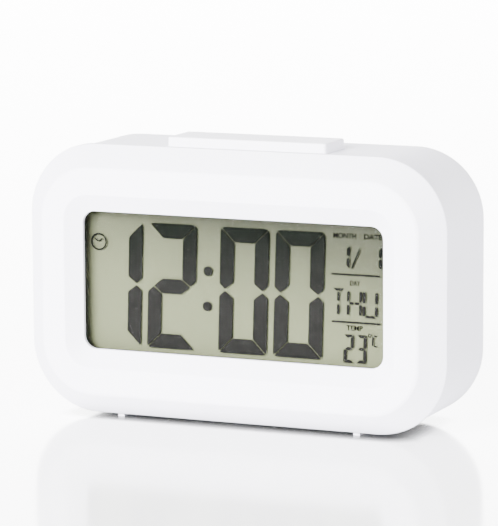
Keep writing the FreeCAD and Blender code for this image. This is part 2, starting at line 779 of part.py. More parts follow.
def make_display():
    """The window pane, the black frame behind it, and the display's glass, films and back light."""
    pane = new_body("pane_body")
    edge = outline(pane, "pane_outline", "pane_y", "window_width + 2 * pane_overlap",
                   "window_height + 2 * pane_overlap", "window_radius")
    pad(pane, "pane", edge, "pane_thickness")
    keep(pane, "display_window")

    frame = new_body("frame_body")
    outer = ("lcd_width + 2 * (lcd_gap + frame_wall)", "lcd_height + 2 * (lcd_gap + frame_wall)")
    add_box(frame, "frame_block", (f"-({outer[0]}) / 2", "mask_y", f"lcd_mid_z - ({outer[1]}) / 2"),
            (outer[0], "board_y - mask_y", outer[1]))
    for side in ("", "-"):
        for rise in ("+", "-"):
            tag = ("right" if not side else "left") + ("_high" if rise == "+" else "_low")
            low_z = f"mid_z {rise} board_screw_height / 2 - ear_edge"
            if rise == "+":
                low_z = "lcd_mid_z + lcd_height / 2"
            length = "mid_z + board_screw_height / 2 + ear_edge - lcd_mid_z - lcd_height / 2"
            if rise == "-":
                length = "lcd_mid_z - lcd_height / 2 - mid_z + board_screw_height / 2 + ear_edge"
            add_box(frame, f"ear_{tag}",
                    (f"{side}board_screw_spread / 2 - ear_width / 2", "board_y - ear_thickness", low_z),
                    ("ear_width", "ear_thickness", length))
    take_box(frame, "frame_room",
             ("-lcd_width / 2 - lcd_gap", "lcd_y", "lcd_mid_z - lcd_height / 2 - lcd_gap"),
             ("lcd_width + 2 * lcd_gap", "board_y - lcd_y + over", "lcd_height + 2 * lcd_gap"))
    sight = outline(frame, "sight_outline", "mask_y", "window_width + 2 * mask_gap",
                    "window_height + 2 * mask_gap", "window_radius + mask_gap")
    pocket(frame, "sight", sight, "mask_depth + over")
    for side in ("", "-"):
        for rise in ("+", "-"):
            tag = ("right" if not side else "left") + ("_high" if rise == "+" else "_low")
            take_rod(frame, f"ear_hole_{tag}", "y",
                     (f"{side}board_screw_spread / 2", "board_y - ear_thickness - over",
                      f"mid_z {rise} board_screw_height / 2"),
                     "small_shank_radius + seat_gap", "ear_thickness + 2 * over")
    keep(frame, "lcd_frame")

    film_size = ("window_width + 2 * film_overlap", "film_thickness", "window_height + 2 * film_overlap")
    film_low = ("-window_width / 2 - film_overlap", "mid_z - window_height / 2 - film_overlap")
    keep(box("film_front", (film_low[0], "lcd_y", film_low[1]), film_size), "front_polariser")
    keep(box("glass_front", ("-lcd_width / 2", "front_glass_y", "lcd_mid_z - lcd_height / 2"),
             ("lcd_width", "glass_thickness", "lcd_height")), "lcd_front_glass")
    keep(box("glass_rear", ("-lcd_width / 2", "rear_glass_y", "mid_z - rear_glass_height / 2"),
             ("lcd_width", "glass_thickness", "rear_glass_height")), "lcd_rear_glass")
    keep(box("film_rear", (film_low[0], "reflector_y", film_low[1]), film_size), "lcd_reflector")
    keep(box("guide", ("-window_width / 2 - guide_overlap", "guide_y", "mid_z - rear_glass_height / 2"),
             ("window_width + 2 * guide_overlap", "guide_thickness", "rear_glass_height")), "light_guide")
    keep(box("zebra", ("-window_width / 2 + guide_overlap", "segment_y",
                       "lcd_mid_z - lcd_height / 2 + lcd_gap"),
             ("window_width - 2 * guide_overlap", "board_y - segment_y", "zebra_height")), "contact_strip")
    lights = []
    for side in (1, -1):
        for rise in (1, -1):
            low_x = "window_width / 2 + guide_overlap + seat_gap"
            if side < 0:
                low_x = f"-({low_x}) - led_thickness"
            lights.append(box(f"led_{len(lights)}", (low_x, "guide_y + board_gap",
                                                     f"mid_z + {rise} * led_pitch / 2 - led_length / 2"),
                              ("led_thickness", "guide_thickness", "led_length")))
    keep(group("leds", lights), "backlight_leds")


def prism(outline_points, thickness):
    """A thin flat solid on an outline given as (across, up) pairs."""
    corners = [V(across, 0, up) for across, up in outline_points]
    face = Part.Face(Part.makePolygon(corners + corners[:1]))
    return face.extrude(V(0, thickness, 0))


def digit_outlines(width, height, stroke, gap):
    """The seven segments of a digit about its middle, with the cuts at its corners in step with its stroke."""
    w, top, s = width / 2, height / 2, stroke
    share = stroke / number("digit_stroke")
    corner = share * number("digit_corner")
    slack = gap * math.sqrt(0.5)
    inset = share * number("tip_inset")
    rise = gap * number("tip_rise / segment_gap")
    outer_end = rise + share * number("tip_length")
    inner_end = rise + (s - inset) * 0.75
    knee = corner * (1 - math.sqrt(0.5))
    upper_left = [
        (-w, top - corner), (-w + knee - slack / 2, top - knee - slack / 2), (-w + s, top - s - slack),
        (-w + s, inner_end), (-w + inset, rise), (-w, outer_end),
    ]
    head = [
        (-w + knee + slack / 2, top - knee + slack / 2), (-w + corner, top), (w - corner, top),
        (w - knee - slack / 2, top - knee + slack / 2), (w - s - slack, top - s), (-w + s + slack, top - s),
    ]
    bridge = [
        (-w + inset + rise, 0), (-w + s + rise, s / 2), (w - s - rise, s / 2),
        (w - inset - rise, 0), (w - s - rise, -s / 2), (-w + s + rise, -s / 2),
    ]

    def flip(points, across, up):
        return [(across * x, up * z) for x, z in points]

    return {
        "a": head, "b": flip(upper_left, -1, 1), "c": flip(upper_left, -1, -1), "d": flip(head, 1, -1),
        "e": flip(upper_left, 1, -1), "f": upper_left, "g": bridge,
    }


def stroke_outline(start, end, stroke, tip):
    """A straight stroke between two points, pointed at both ends by a share of half its width."""
    run_x, run_z = end[0] - start[0], end[1] - start[1]
    length = math.hypot(run_x, run_z)
    ux, uz = run_x / length, run_z / length
    half = stroke / 2
    cut = half * tip
    spots = ((0, 0), (cut, half), (length - cut, half), (length, 0), (length - cut, -half), (cut, -half))
    return [(start[0] + ux * along - uz * off, start[1] + uz * along + ux * off) for along, off in spots]


def notched_outline(middle, level, half, depth, notch):
    """A bar with its long edge at a level and its ends and a notch cut at 45 degrees on the other side."""
    inner = level + depth
    reach = abs(depth)
    return [(middle - half, level), (middle + half, level), (middle + half - reach, inner),
            (middle + notch, inner), (middle, inner - depth * notch / reach),
            (middle - notch, inner), (middle - half + reach, inner)]


# The small digits of the date and the temperature: lit segments, middle across and up, width, height
SMALL_DIGITS = (
    ("bc", 35.0, 11.0, 2.8, 7.0),
    ("bc", 45.17, 11.0, 2.8, 7.0),
    ("abged", 36.0, -16.35, 3.15, 8.5),
    ("abgcd", 40.1, -16.3, 3.05, 8.5),
)
# Strokes of the day's letters and of the C: middle across, top, bottom, width
UPRIGHTS = (
    (32.82, 0.5, -2.3, 0.75), (32.72, -3.2, -6.3, 0.75),
    (35.97, 0.9, -2.4, 0.8), (35.88, -3.1, -6.3, 0.8),
    (39.86, 0.9, -2.4, 0.8), (39.74, -3.1, -6.3, 0.8),
    (41.02, 0.9, -2.55, 0.8), (40.88, -3.35, -6.4, 0.8),
    (44.84, 0.85, -2.6, 0.8), (44.74, -3.4, -6.35, 0.8),
    (43.72, -12.3, -15.1, 0.5),
)
# Bars with a notch: middle across, level of the long edge, half length, depth to the notch, half the notch
NOTCHED_BARS = (
    (32.92, 1.6, 1.72, -0.85, 0.3),
    (42.8, -6.9, 1.78, 0.8, 0.35),
)
# The little clock's face and the degree ring: middle across and up, radius, line
CLOCK_MARK = (-45.5, 11.2, 2.65, 0.45)
DEGREE_MARK = (42.75, -12.05, 0.58, 0.24)
# Other strokes: the rules across the right-hand column, the date's slash, the bar of the H, the ends of
# the C and the little clock's hands, each with its line
STROKES = (
    ((30.4, 5.75), (46.0, 5.75), 0.55),
    ((30.6, -8.45), (46.1, -8.45), 0.55),
    ((39.55, 13.6), (37.05, 7.6), 0.45),
    ((36.3, -2.75), (37.7, -2.75), 0.75),
    ((38.0, -2.75), (39.5, -2.75), 0.75),
    ((44.0, -12.1), (45.0, -12.1), 0.4),
    ((44.0, -15.2), (45.0, -15.2), 0.45),
    ((-45.62, 11.25), (-46.8, 12.2), 0.4),
    ((-45.38, 11.25), (-44.35, 12.25), 0.4),
)


def ring_solid(across, up, radius, line, thickness):
    """A flat ring on the display."""
    outer = Part.makeCylinder(radius, thickness, V(across, 0, up), V(0, 1, 0))
    return outer.cut(Part.makeCylinder(radius - line, thickness, V(across, 0, up), V(0, 1, 0)))


def make_segments():
    """The dark areas of the display: the time, the date, the day, the temperature and their marks."""
    thick = number("segment_thickness")
    slant = number("digit_slant")
    drop = number("digit_drop")
    last = number("last_digit_x")
    pitch = number("digit_pitch")
    second = last - pitch - number("colon_pitch")
    places = (second - pitch, second, last - pitch, last)
    gap = number("segment_gap")
    shapes = digit_outlines(number("digit_width"), number("digit_height"), number("digit_stroke"), gap)
    solids = []
    for middle, lit in zip(places, ("bc", "abged", "abcdef", "abcdef")):
        for name in lit:
            points = [(middle + x + slant * z, z - drop) for x, z in shapes[name]]
            solids.append(prism(points, thick))
    colon_x = (places[1] + places[2]) / 2
    for rise in (0.5, -0.5):
        up = rise * number("colon_spread")
        centre = V(colon_x + slant * up, 0, up - drop)
        solids.append(Part.makeCylinder(number("colon_radius"), thick, centre, V(0, 1, 0)))
    for lit, across, up, width, height in SMALL_DIGITS:
        shapes = digit_outlines(width, height, number("small_stroke"), number("small_gap"))
        for name in lit:
            solids.append(prism([(across + x + slant * z, up + z) for x, z in shapes[name]], thick))
    for across, top, bottom, stroke in UPRIGHTS:
        ends = (across + slant * (top - bottom) / 2, top), (across - slant * (top - bottom) / 2, bottom)
        solids.append(prism(stroke_outline(*ends, stroke, 0.5), thick))
    for bar in NOTCHED_BARS:
        solids.append(prism(notched_outline(*bar), thick))
    for start, end, line in STROKES:
        solids.append(prism(stroke_outline(start, end, line, 0.5), thick))
    for mark in (CLOCK_MARK, DEGREE_MARK):
        solids.append(ring_solid(*mark, thick))
    piece = doc.addObject("Part::Feature", "segments")
    piece.Shape = Part.makeCompound(solids)
    piece.Placement = FreeCAD.Placement(point("0", "segment_y", "mid_z"), FreeCAD.Rotation())
    keep(piece, "lcd_segments")


def make_main_board():
    """The main board with the parts soldered to its back."""
    plate = box("board_plate", ("-board_width / 2", "board_y", "mid_z - board_height / 2"),
                ("board_width", "board_thickness", "board_height"))
    holes = []
    for side in ("", "-"):
        for rise in ("+", "-"):
            holes.append(rod(f"board_hole{len(holes)}", "y",
                             (f"{side}board_screw_spread / 2", "board_y - over",
                              f"mid_z {rise} board_screw_height / 2"),
                             "small_shank_radius + seat_gap", "board_thickness + 2 * over"))
    keep(cut("board", plate, holes), "main_board")

    blob = doc.addObject("Part::Cone", "blob")
    blob.Placement = FreeCAD.Placement(V(), LYING["y"])
    tie(blob, x="cover_x", y="board_back_y", z="mid_z + cover_rise", Radius1="cover_radius",
        Radius2="cover_top_radius", Height="cover_height")
    keep(blob, "clock_chip")
    keep(rod("can", "x", ("can_x", "board_back_y + crystal_radius + seat_gap", "mid_z + crystal_rise"),
             "crystal_radius", "crystal_length"), "crystal")
    keep(rod("tin", "x", ("can_x", "board_back_y + capacitor_radius + seat_gap", "mid_z + capacitor_rise"),
             "capacitor_radius", "capacitor_length"), "capacitor")
    chips = []
    for row in range(2):
        for column in range(4):
            low = (f"resistor_x + {column} * resistor_pitch", "board_back_y",
                   f"mid_z - resistor_drop - {row} * resistor_row")
            chips.append(box(f"chip{len(chips)}", low,
                             ("resistor_length", "resistor_height", "resistor_width")))
    keep(group("chips", chips), "chip_resistors")

    # A bead on two thin legs that senses the temperature of the air
    bead = rod("bead", "y", ("sensor_x", "board_back_y + leg_length - root_sink", "mid_z - sensor_drop"),
               "bead_radius", "bead_length")
    legs = [rod(f"leg{at}", "y", (f"sensor_x {side} leg_spread", "board_back_y", "mid_z - sensor_drop"),
                "leg_radius", "leg_length")
            for at, side in enumerate(("+", "-"))]
    keep(fuse("sensor", [bead] + legs), "temperature_sensor")


def screw(name, axis, seat, grip, radius, head_radius, head_height, toward=-1):
    """A pan-head screw with a cross recess. It is seated under its head and runs along the axis."""
    index = "xyz".index(axis)
    shank_start = list(seat)
    shank_start[index] = f"{seat[index]} - ({grip})" if toward < 0 else seat[index]
    head_start = list(seat)
    head_start[index] = seat[index] if toward < 0 else f"{seat[index]} - ({head_height})"
    head = rod(f"{name}_head", axis, head_start, head_radius, head_height)
    shank = rod(f"{name}_shank", axis, shank_start, radius, f"{grip} + hair")
    if toward > 0:
        tie(shank, **{axis: f"{seat[index]} - hair"})
    whole = fuse(f"{name}_whole", [head, shank])
    slots = []
    others = [at for at in range(3) if at != index]
    for long_way in others:
        low, size = list(seat), ["slot_width"] * 3
        low[index] = f"{seat[index]} + {head_height} / 2"
        if toward > 0:
            low[index] = f"{seat[index]} - {head_height} - over"
        size[index] = f"{head_height} / 2 + over"
        size[long_way] = f"{head_radius} * 1.2"
        for at in others:
            low[at] = f"{seat[at]} - ({size[at]}) / 2"
        slots.append(box(f"{name}_slot{long_way}", low, size))
    return cut(name, whole, slots)


def make_screws():
    """The screws that join the case, hold the main board and hold the two small boards."""
    case_screws, board_screws = [], []
    for side in ("", "-"):
        for rise in ("+", "-"):
            seat = (f"{side}case_screw_x", "case_head_y", f"mid_z {rise} case_screw_height")
            case_screws.append(screw(f"case_screw{len(case_screws)}", "y", seat,
                                     "case_seat + seat_gap + case_grip",
                                     "case_shank_radius", "case_head_radius", "case_head_height"))
            seat = (f"{side}board_screw_spread / 2", "board_back_y", f"mid_z {rise} board_screw_height / 2")
            board_screws.append(screw(f"board_screw{len(board_screws)}", "y", seat,
                                      "board_thickness + ear_thickness + small_grip",
                                      "small_shank_radius", "small_head_radius", "small_head_height"))
    keep(group("case_screw_set", case_screws), "case_screws")
    keep(group("board_screw_set", board_screws), "board_screws")
    key_screws = []
    for at, (across, high) in enumerate(KEY_SCREWS):
        key_screws.append(screw(f"key_screw{at}", "y", (across, "key_board_front_y", high),
                                "key_board_depth + small_grip", "small_shank_radius", "small_head_radius",
                                "small_head_height", toward=1))
    keep(group("key_screw_set", key_screws), "key_board_screws")
    snooze_screws = []
    for side in ("+", "-"):
        seat = (f"bar_shift {side} snooze_screw_spread / 2", "snooze_screw_y",
                "snooze_board_z - board_thickness")
        snooze_screws.append(screw(f"snooze_screw{len(snooze_screws)}", "z", seat,
                                   "board_thickness + small_grip", "small_shank_radius",
                                   "small_head_radius", "small_head_height", toward=1))
    keep(group("snooze_screw_set", snooze_screws), "snooze_board_screws")


def make_keys():
    """The four buttons, their switches and plungers, the key board and the slide switch."""
    span = "slide_x + last_screw_reach - first_key_x + first_screw_reach"
    plate = box("key_plate", ("first_key_x - first_screw_reach - key_board_side / 2", "key_board_front_y",
                              "key_z - key_height / 2 - key_board_foot"),
                (f"{span} + key_board_side", "key_board_depth", "key_board_height"))
    holes = [rod(f"key_hole{at}", "y", (across, "key_board_front_y - over", high),
                 "small_shank_radius + seat_gap", "key_board_depth + 2 * over")
             for at, (across, high) in enumerate(KEY_SCREWS)]
    keep(cut("key_board", plate, holes), "key_board")

    switches = []
    for at, name in enumerate(KEYS):
        across = f"first_key_x + {at} * key_pitch"
        shell = box(f"{name}_tact", (f"{across} - tact_size / 2", "key_board_y", "key_z - tact_size / 2"),
                    ("tact_size", "tact_depth", "tact_size"))
        well = rod(f"{name}_well", "y", (across, "plunger_y - key_travel - over", "key_z"),
                   "plunger_radius + sliding_gap", "plunger_depth + key_travel + 2 * over")
        switches.append(cut(f"{name}_switch", shell, [well]))
        plunger = rod(f"{name}_pin", "y", (across, "plunger_y", "key_z"), "plunger_radius",
                      "key_flange_y - plunger_y")
        keep(plunger, f"{name}_plunger")

        cap = new_body(f"{name}_body")
        base = outline(cap, f"{name}_base", "key_flange_y", "key_width + 2 * (key_clearance + key_shoulder)",
                       "key_height + 2 * (key_clearance + key_shoulder)", "key_height / 2 + key_clearance",
                       across=across, along="key_z")
        pad(cap, f"{name}_flange", base, "key_flange")
        stem = outline(cap, f"{name}_stem", "key_flange_y + key_flange / 2", "key_width", "key_height",
                       "key_height / 2 - hair", across=across, along="key_z")
        pad(cap, f"{name}_cap", stem, "back_y + key_rise - key_flange_y - key_flange / 2")
        top = number("back_y + key_rise")
        round_edges(cap, f"{name}_rounding", "key_rise / 2", lambda b: level_with(b.YMin, b.YMax, top))
        keep(cap, f"{name}_button")
    keep(group("key_switches", switches), "button_switches")

    shell = box("slide_shell", ("slide_x - slide_length / 2", "key_board_y", "key_z - slide_height / 2"),
                ("slide_length", "tact_depth", "slide_height"))
    way = box("slide_way", ("slide_x - (knob_length + knob_travel) / 2 - over", "tact_y - knob_depth - over",
                            "key_z - knob_height / 2 - sliding_gap"),
              ("knob_length + knob_travel + 2 * over", "knob_depth + 2 * over",
               "knob_height + 2 * sliding_gap"))
    keep(cut("slide_body", shell, [way]), "slide_switch")
    knob = new_body("knob_body")
    stem = outline(knob, "knob_outline", "tact_y - knob_depth", "knob_length", "knob_height", "knob_radius",
                   across="slide_x - knob_travel / 2", along="key_z")
    pad(knob, "knob_stem", stem, "back_y + knob_rise - tact_y + knob_depth")
    top = number("back_y + knob_rise")
    round_edges(knob, "knob_rounding", "knob_rise / 3", lambda b: level_with(b.YMin, b.YMax, top))
    keep(knob, "alarm_slider")


def make_snooze():
    """The snooze bar on the top, with its own small board and switch."""
    bar = new_body("bar_body")
    base = outline(bar, "bar_outline", "bar_low", "bar_width", "bar_depth", "bar_radius",
                   across="bar_shift", along="snooze_mid_y", plane="XY_Plane")
    pad(bar, "bar_block", base, "bar_top - bar_low", backwards=False)
    top = number("bar_top")
    round_edges(bar, "bar_rounding", "bar_round", lambda b: level_with(b.ZMin, b.ZMax, top))
    add_box(bar, "bar_hooks", ("bar_shift - bar_width / 2 - bar_hook", "bar_y + bar_radius", "bar_low"),
            ("bar_width + 2 * bar_hook", "bar_depth - 2 * bar_radius", "bar_flange"))
    for side in (-1, 1):
        length = "(bar_width - bar_web) / 2 - bar_wall"
        low_x = "bar_shift - bar_width / 2 + bar_wall" if side < 0 else "bar_shift + bar_web / 2"
        take_box(bar, "bar_hollow_" + ("left" if side < 0 else "right"),
                 (low_x, "bar_y + bar_wall", "bar_low - over"),
                 (length, "bar_depth - 2 * bar_wall", "bar_top - bar_low - bar_wall - bar_round + over"))
    keep(bar, "snooze_bar")

    plate = box("snooze_plate", ("bar_shift - snooze_board_width / 2", "snooze_board_front",
                                 "snooze_board_z - board_thickness"),
                ("snooze_board_width", "snooze_board_back - snooze_board_front", "board_thickness"))
    holes = [rod("snooze_hole_" + tag, "z", (f"bar_shift {side} snooze_screw_spread / 2", "snooze_screw_y",
                                             "snooze_board_z - board_thickness - over"),
                 "small_shank_radius + seat_gap", "board_thickness + 2 * over")
             for side, tag in (("+", "right"), ("-", "left"))]
    keep(cut("snooze_board", plate, holes), "snooze_board")
    shell = box("snooze_shell",
                ("bar_shift - tact_size / 2", "snooze_mid_y - tact_size / 2", "snooze_board_z"),
                ("tact_size", "tact_size", "tact_depth"))
    bottom = "snooze_tact_z - plunger_depth"
    well = rod("snooze_well", "z", ("bar_shift", "snooze_mid_y", f"{bottom} - bar_travel - over"),
               "plunger_radius + sliding_gap", "plunger_depth + bar_travel + 2 * over")
    keep(cut("snooze_tact", shell, [well]), "snooze_switch")
    keep(rod("snooze_pin", "z", ("bar_shift", "snooze_mid_y", bottom), "plunger_radius",
             f"bar_low - ({bottom})"), "snooze_plunger")


def make_door():
    """The battery door: a flat panel with two hooks at its foot, a springy tongue and a thumb hollow."""
    door = new_body("door_body")
    middle = "(door_low + door_high) / 2"
    edge = outline(door, "door_outline", "door_y", "2 * door_half", "door_high - door_low", "door_radius",
                   along=middle)
    pad(door, "door_panel", edge, "door_thickness")
    for side in ("", "-"):
        tag = "right" if not side else "left"
        low_x = f"{side}hook_spread / 2 - hook_width / 2"
        add_box(door, f"hook_root_{tag}", (low_x, "wall_y - hook_play - hook_thickness", "door_low"),
                ("hook_width", "door_y - wall_y + hook_play + over + hook_thickness", "hook_overlap"))
        add_box(door, f"hook_{tag}", (low_x, "wall_y - hook_play - hook_thickness", "door_low - hook_drop"),
                ("hook_width", "hook_thickness", "hook_drop + hook_overlap / 2"))
        low_x = "tongue_width / 2" if not side else "-tongue_width / 2 - tongue_slot"
        take_box(door, f"tongue_slot_{tag}", (low_x, "door_y - over", "door_high - tongue_length"),
                 ("tongue_slot", "door_thickness + 2 * over", "tongue_length + over"))
    thumb = outline(door, "thumb_outline", "back_y - thumb_depth", "thumb_width", "thumb_height",
                    "thumb_height / 2 - hair", along="door_high - tongue_length / 2")
    pocket(door, "thumb_hollow", thumb, "thumb_depth + over")
    for at in (-1, 0, 1):
        add_box(door, f"thumb_rib{at + 1}",
                ("-thumb_width / 4", "back_y - thumb_depth - over",
                 f"door_high - tongue_length / 2 + {at} * thumb_height / 4 - thumb_rib / 2"),
                ("thumb_width / 2", "thumb_rib + over", "thumb_rib"))
    keep(door, "battery_door")


def arc_through(start, direction, end):
    """The arc that leaves start in a direction and reaches end."""
    chord = end - start
    along = V(chord).normalize()
    tilt = direction.getAngle(chord)
    side = direction - along * direction.dot(along)
    if side.Length < 1e-9:
        return Part.LineSegment(start, end).toShape()
    middle = (start + end) / 2 + side.normalize() * (chord.Length / 2 * math.tan(tilt / 2))
    return Part.Arc(start, middle, end).toShape()


def biarc(start, leaving, end, arriving):
    """Two arcs that meet smoothly between two points with given directions."""
    gap = end - start
    both = leaving + arriving
    spread = 2 * (1 - leaving.dot(arriving))
    reach = (math.sqrt(gap.dot(both) ** 2 + spread * gap.dot(gap)) - gap.dot(both)) / spread
    middle = (start + leaving * reach + end - arriving * reach) / 2
    turning = (end - arriving * reach) - (start + leaving * reach)
    return [arc_through(start, leaving, middle), arc_through(middle, turning.normalize(), end)]


def coil(length, foot_radius, tip_radius, turns, wire):
    """A cone-shaped wire coil that rises along Z, with its wire's middle half a wire from each end."""
    steps = int(turns * 4)
    rise = length - wire

    def spot(step):
        angle = step * math.pi / 2
        radius = foot_radius + (tip_radius - foot_radius) * step / steps
        return V(radius * math.cos(angle), radius * math.sin(angle), wire / 2 + rise * step / steps)

    def heading(step):
        angle = step * math.pi / 2
        radius = foot_radius + (tip_radius - foot_radius) * step / steps
        shrink = (tip_radius - foot_radius) / steps / (math.pi / 2)
        climb = rise / steps / (math.pi / 2)
        return V(shrink * math.cos(angle) - radius * math.sin(angle),
                 shrink * math.sin(angle) + radius * math.cos(angle), climb).normalize()

    edges = []
    for step in range(steps):
        edges += biarc(spot(step), heading(step), spot(step + 1), heading(step + 1))
    section = Part.Wire(Part.Circle(spot(0), heading(0), wire / 2).toShape())
    gap = rise / turns - wire
    return Part.Wire(edges).makePipeShell([section], True, False), gap


def make_battery_parts():
    """Three cells, the springs at their flat ends, and the contact plates at both ends of the bay."""
    for row, name in enumerate(("lower", "middle", "upper")):
        nub_right = row != 1
        body_length = "cell_length - nub_height"
        left = "-bay_half + seat_gap + plate_thickness + spring_length"
        if not nub_right:
            left = "-bay_half + 2 * seat_gap + plate_thickness + nub_height"
        high = f"cell_z + {row} * cell_pitch"
        can = rod(f"can_{name}", "x", (left, "cell_y", high), "cell_diameter / 2", body_length)
        nub_x = f"{left} + {body_length} - over" if nub_right else f"{left} - nub_height"
        nub = rod(f"nub_{name}", "x", (nub_x, "cell_y", high), "nub_radius", "nub_height + over")
        keep(fuse(f"cell_{name}", [can, nub]), f"{name}_cell")

    coils = []
    wire = number("spring_wire")
    shape, gap = coil(number("spring_length - 2 * seat_gap"), number("spring_foot_radius"),
                      number("spring_tip_radius"), number("spring_turns"), wire)
    print(f"battery springs: least gap between turns {gap:.2f} mm")
    for row, side in ((0, -1), (1, 1), (2, -1)):
        turned = shape.copy()
        rotation = FreeCAD.Rotation(V(0, 1, 0), 90 if side < 0 else -90)
        base = point(f"{side} * (bay_half - 2 * seat_gap - plate_thickness)", "cell_y",
                     f"cell_z + {row} * cell_pitch")
        turned.Placement = FreeCAD.Placement(base, rotation)
        coils.append(turned)
    springs = doc.addObject("Part::Feature", "springs")
    springs.Shape = Part.makeCompound(coils)
    keep(springs, "battery_springs")

    plates = []
    spans = {"": ((2, 1), (0, 2)), "-": ((0, 1), (1, 2))}
    for side, runs in spans.items():
        low_x = "bay_half - seat_gap - plate_thickness" if not side else "-bay_half + seat_gap"
        for first, count in runs:
            low_z = f"cell_z + {first} * cell_pitch - plate_size / 2"
            height = f"plate_size + {count - 1} * cell_pitch"
            plate = box(f"plate{len(plates)}", (low_x, "cell_y - plate_size / 2", low_z),
                        ("plate_thickness", "plate_size", height))
            if (side, first) in TERMINALS:
                start_y = "bay_y - bay_floor - tab_reach"
                tab = box(f"tab{len(plates)}",
                          (low_x, start_y, f"cell_z + {first} * cell_pitch - tab_width / 2"),
                          ("plate_thickness", f"cell_y - ({start_y})", "tab_width"))
                plate = fuse(f"terminal{len(plates)}", [plate, tab])
            plates.append(plate)
    keep(group("plates", plates), "contact_plates")


def make_buzzer():
    """A round buzzer in the ring behind the sound slots."""
    can = rod("buzzer_can", "y", ("buzzer_x", "wall_y - seat_gap - buzzer_depth", "buzzer_z"),
              "buzzer_radius", "buzzer_depth")
    hole = rod("buzzer_mouth", "y", ("buzzer_x", "wall_y - seat_gap - buzzer_mouth_depth", "buzzer_z"),
               "buzzer_mouth_radius", "buzzer_mouth_depth + over")
    keep(cut("buzzer_whole", can, [hole]), "buzzer")


def rounded_path(points):
    """Straight runs through the points, joined by tangent arcs as large as the runs allow."""
    edges = []
    last = points[0]
    for before, corner, after in zip(points, points[1:], points[2:]):
        way_in, way_out = (corner - before), (after - corner)
        cut_back = 0.45 * min(way_in.Length, way_out.Length)
        first = corner - V(way_in).normalize() * cut_back
        second = corner + V(way_out).normalize() * cut_back
        edges.append(Part.LineSegment(last, first).toShape())
        edges.append(arc_through(first, V(way_in).normalize(), second))
        last = second
    edges.append(Part.LineSegment(last, points[-1]).toShape())
    return Part.Wire(edges)


def lead(label, routes, radius):
    """Round insulated wires, one solid for each route."""
    solids = []
    for route in routes:
        points = [point(*stop) for stop in route]
        section = Part.Wire(Part.Circle(points[0], points[1] - points[0], radius).toShape())
        solids.append(rounded_path(points).makePipeShell([section], True, False))
    piece = doc.addObject("Part::Feature", f"{label}_wires")
    piece.Shape = solids[0] if len(solids) == 1 else Part.makeCompound(solids)
    keep(piece, label)


def make_leads():
    """The battery leads, the buzzer's and snooze switch's pairs, and the ribbon to the key board."""
    radius = number("lead_radius")
    tab_end = "bay_y - bay_floor - tab_reach - seat_gap"
    tab_x = "bay_half - seat_gap - plate_thickness / 2"
    inner, outer = "board_back_y + seat_gap", f"{tab_end} - lead_way_out"
    for label, side, row in (("positive_lead", "", 2), ("negative_lead", "-", 0)):
        high = f"cell_z + {row} * cell_pitch"
        across = f"{side}({tab_x})"
        aside = f"{across} - lead_step"
        lead(label, [[
            (across, tab_end, high), (across, outer, high),
            (aside, "board_back_y + lead_way_in", f"{high} + lead_step"),
            (aside, inner, f"{high} + lead_step"),
        ]], radius)
    front = "wall_y - 2 * seat_gap - buzzer_depth"
    lead("buzzer_leads", [[
        (f"buzzer_x {side} buzzer_lead_spread", front, "buzzer_z"),
        (f"buzzer_x {side} buzzer_lead_spread", f"{front} - buzzer_lead_way", "buzzer_z"),
        (f"buzzer_x {side} buzzer_lead_spread", "board_back_y + buzzer_lead_way",
         "buzzer_z + buzzer_lead_rise"),
        (f"buzzer_x {side} buzzer_lead_spread", inner, "buzzer_z + buzzer_lead_rise"),
    ] for side in ("+", "-")], radius)
    under = "snooze_board_z - board_thickness - seat_gap"
    starts = [f"bar_shift + snooze_lead_x + {at} * snooze_lead_pitch" for at in range(2)]
    lead("snooze_leads", [[
        (across, "snooze_mid_y", under),
        (across, "snooze_mid_y", f"{under} - snooze_lead_drop"),
        (across, inner, f"{under} - snooze_lead_drop"),
    ] for across in starts], radius)

    high = "key_z - key_height / 2 - key_flange"
    stops = [
        point("ribbon_x", inner, f"{high} - ribbon_drop"),
        point("ribbon_x", "board_back_y + ribbon_way", f"{high} - ribbon_drop"),
        point("ribbon_x", "key_board_front_y - ribbon_way", high),
        point("ribbon_x", "key_board_front_y - seat_gap", high),
    ]
    wide, thick = number("ribbon_width") / 2, number("ribbon_thickness") / 2
    spots = ((-wide, -thick), (wide, -thick), (wide, thick), (-wide, thick))
    corners = [stops[0] + V(x, 0, z) for x, z in spots]
    section = Part.makePolygon(corners + corners[:1])
    piece = doc.addObject("Part::Feature", "ribbon")
    piece.Shape = rounded_path(stops).makePipeShell([section], True, False)
    keep(piece, "key_ribbon")


def check_model():
    """Stops if anything failed, is empty or is not valid, or if a feature changed nothing."""
    for item in doc.Objects:
        if "Invalid" in item.State or "Error" in item.State:
            raise RuntimeError(f"{item.Name} failed: {item.State}")
        base = getattr(item, "BaseFeature", None)
        if base is None or item.TypeId == "PartDesign::Body":
            continue
        change = item.Shape.Volume - base.Shape.Volume
        taken = "Subtractive" in item.TypeId or item.TypeId.endswith("Pocket")
        added = "Additive" in item.TypeId or item.TypeId.endswith("Pad")
        if (taken and change > -1e-6) or (added and change < 1e-6):
            raise RuntimeError(f"{item.Name} changed nothing")
    for piece in PARTS:
        if piece.Shape.isNull() or not piece.Shape.isValid():
            raise RuntimeError(f"{piece.Label} has no valid shape")


make_front_bezel()
make_rear_case()
make_display()
make_segments()
make_main_board()
make_screws()
make_keys()
make_snooze()
make_door()
make_battery_parts()
make_buzzer()
make_leads()
doc.recompute()
check_model()
os.makedirs("parts", exist_ok=True)
for piece in PARTS:
    piece.Shape.exportStep(f"parts/{piece.Label}.step")
    print(f"{piece.Label}: {len(piece.Shape.Solids)} solids, {piece.Shape.Volume:.1f} mm3")
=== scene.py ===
"""A white battery desk clock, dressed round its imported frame.

Every size is in metres, unless its comment says millimetres. X runs to the viewer's right, Y from the display
to the back, and Z up. The case, the keys and the parts inside keep the shapes of the frame and get their
finishes here. The display's glass, the words on the display and on the back, and the stage are made here.
"""

import math

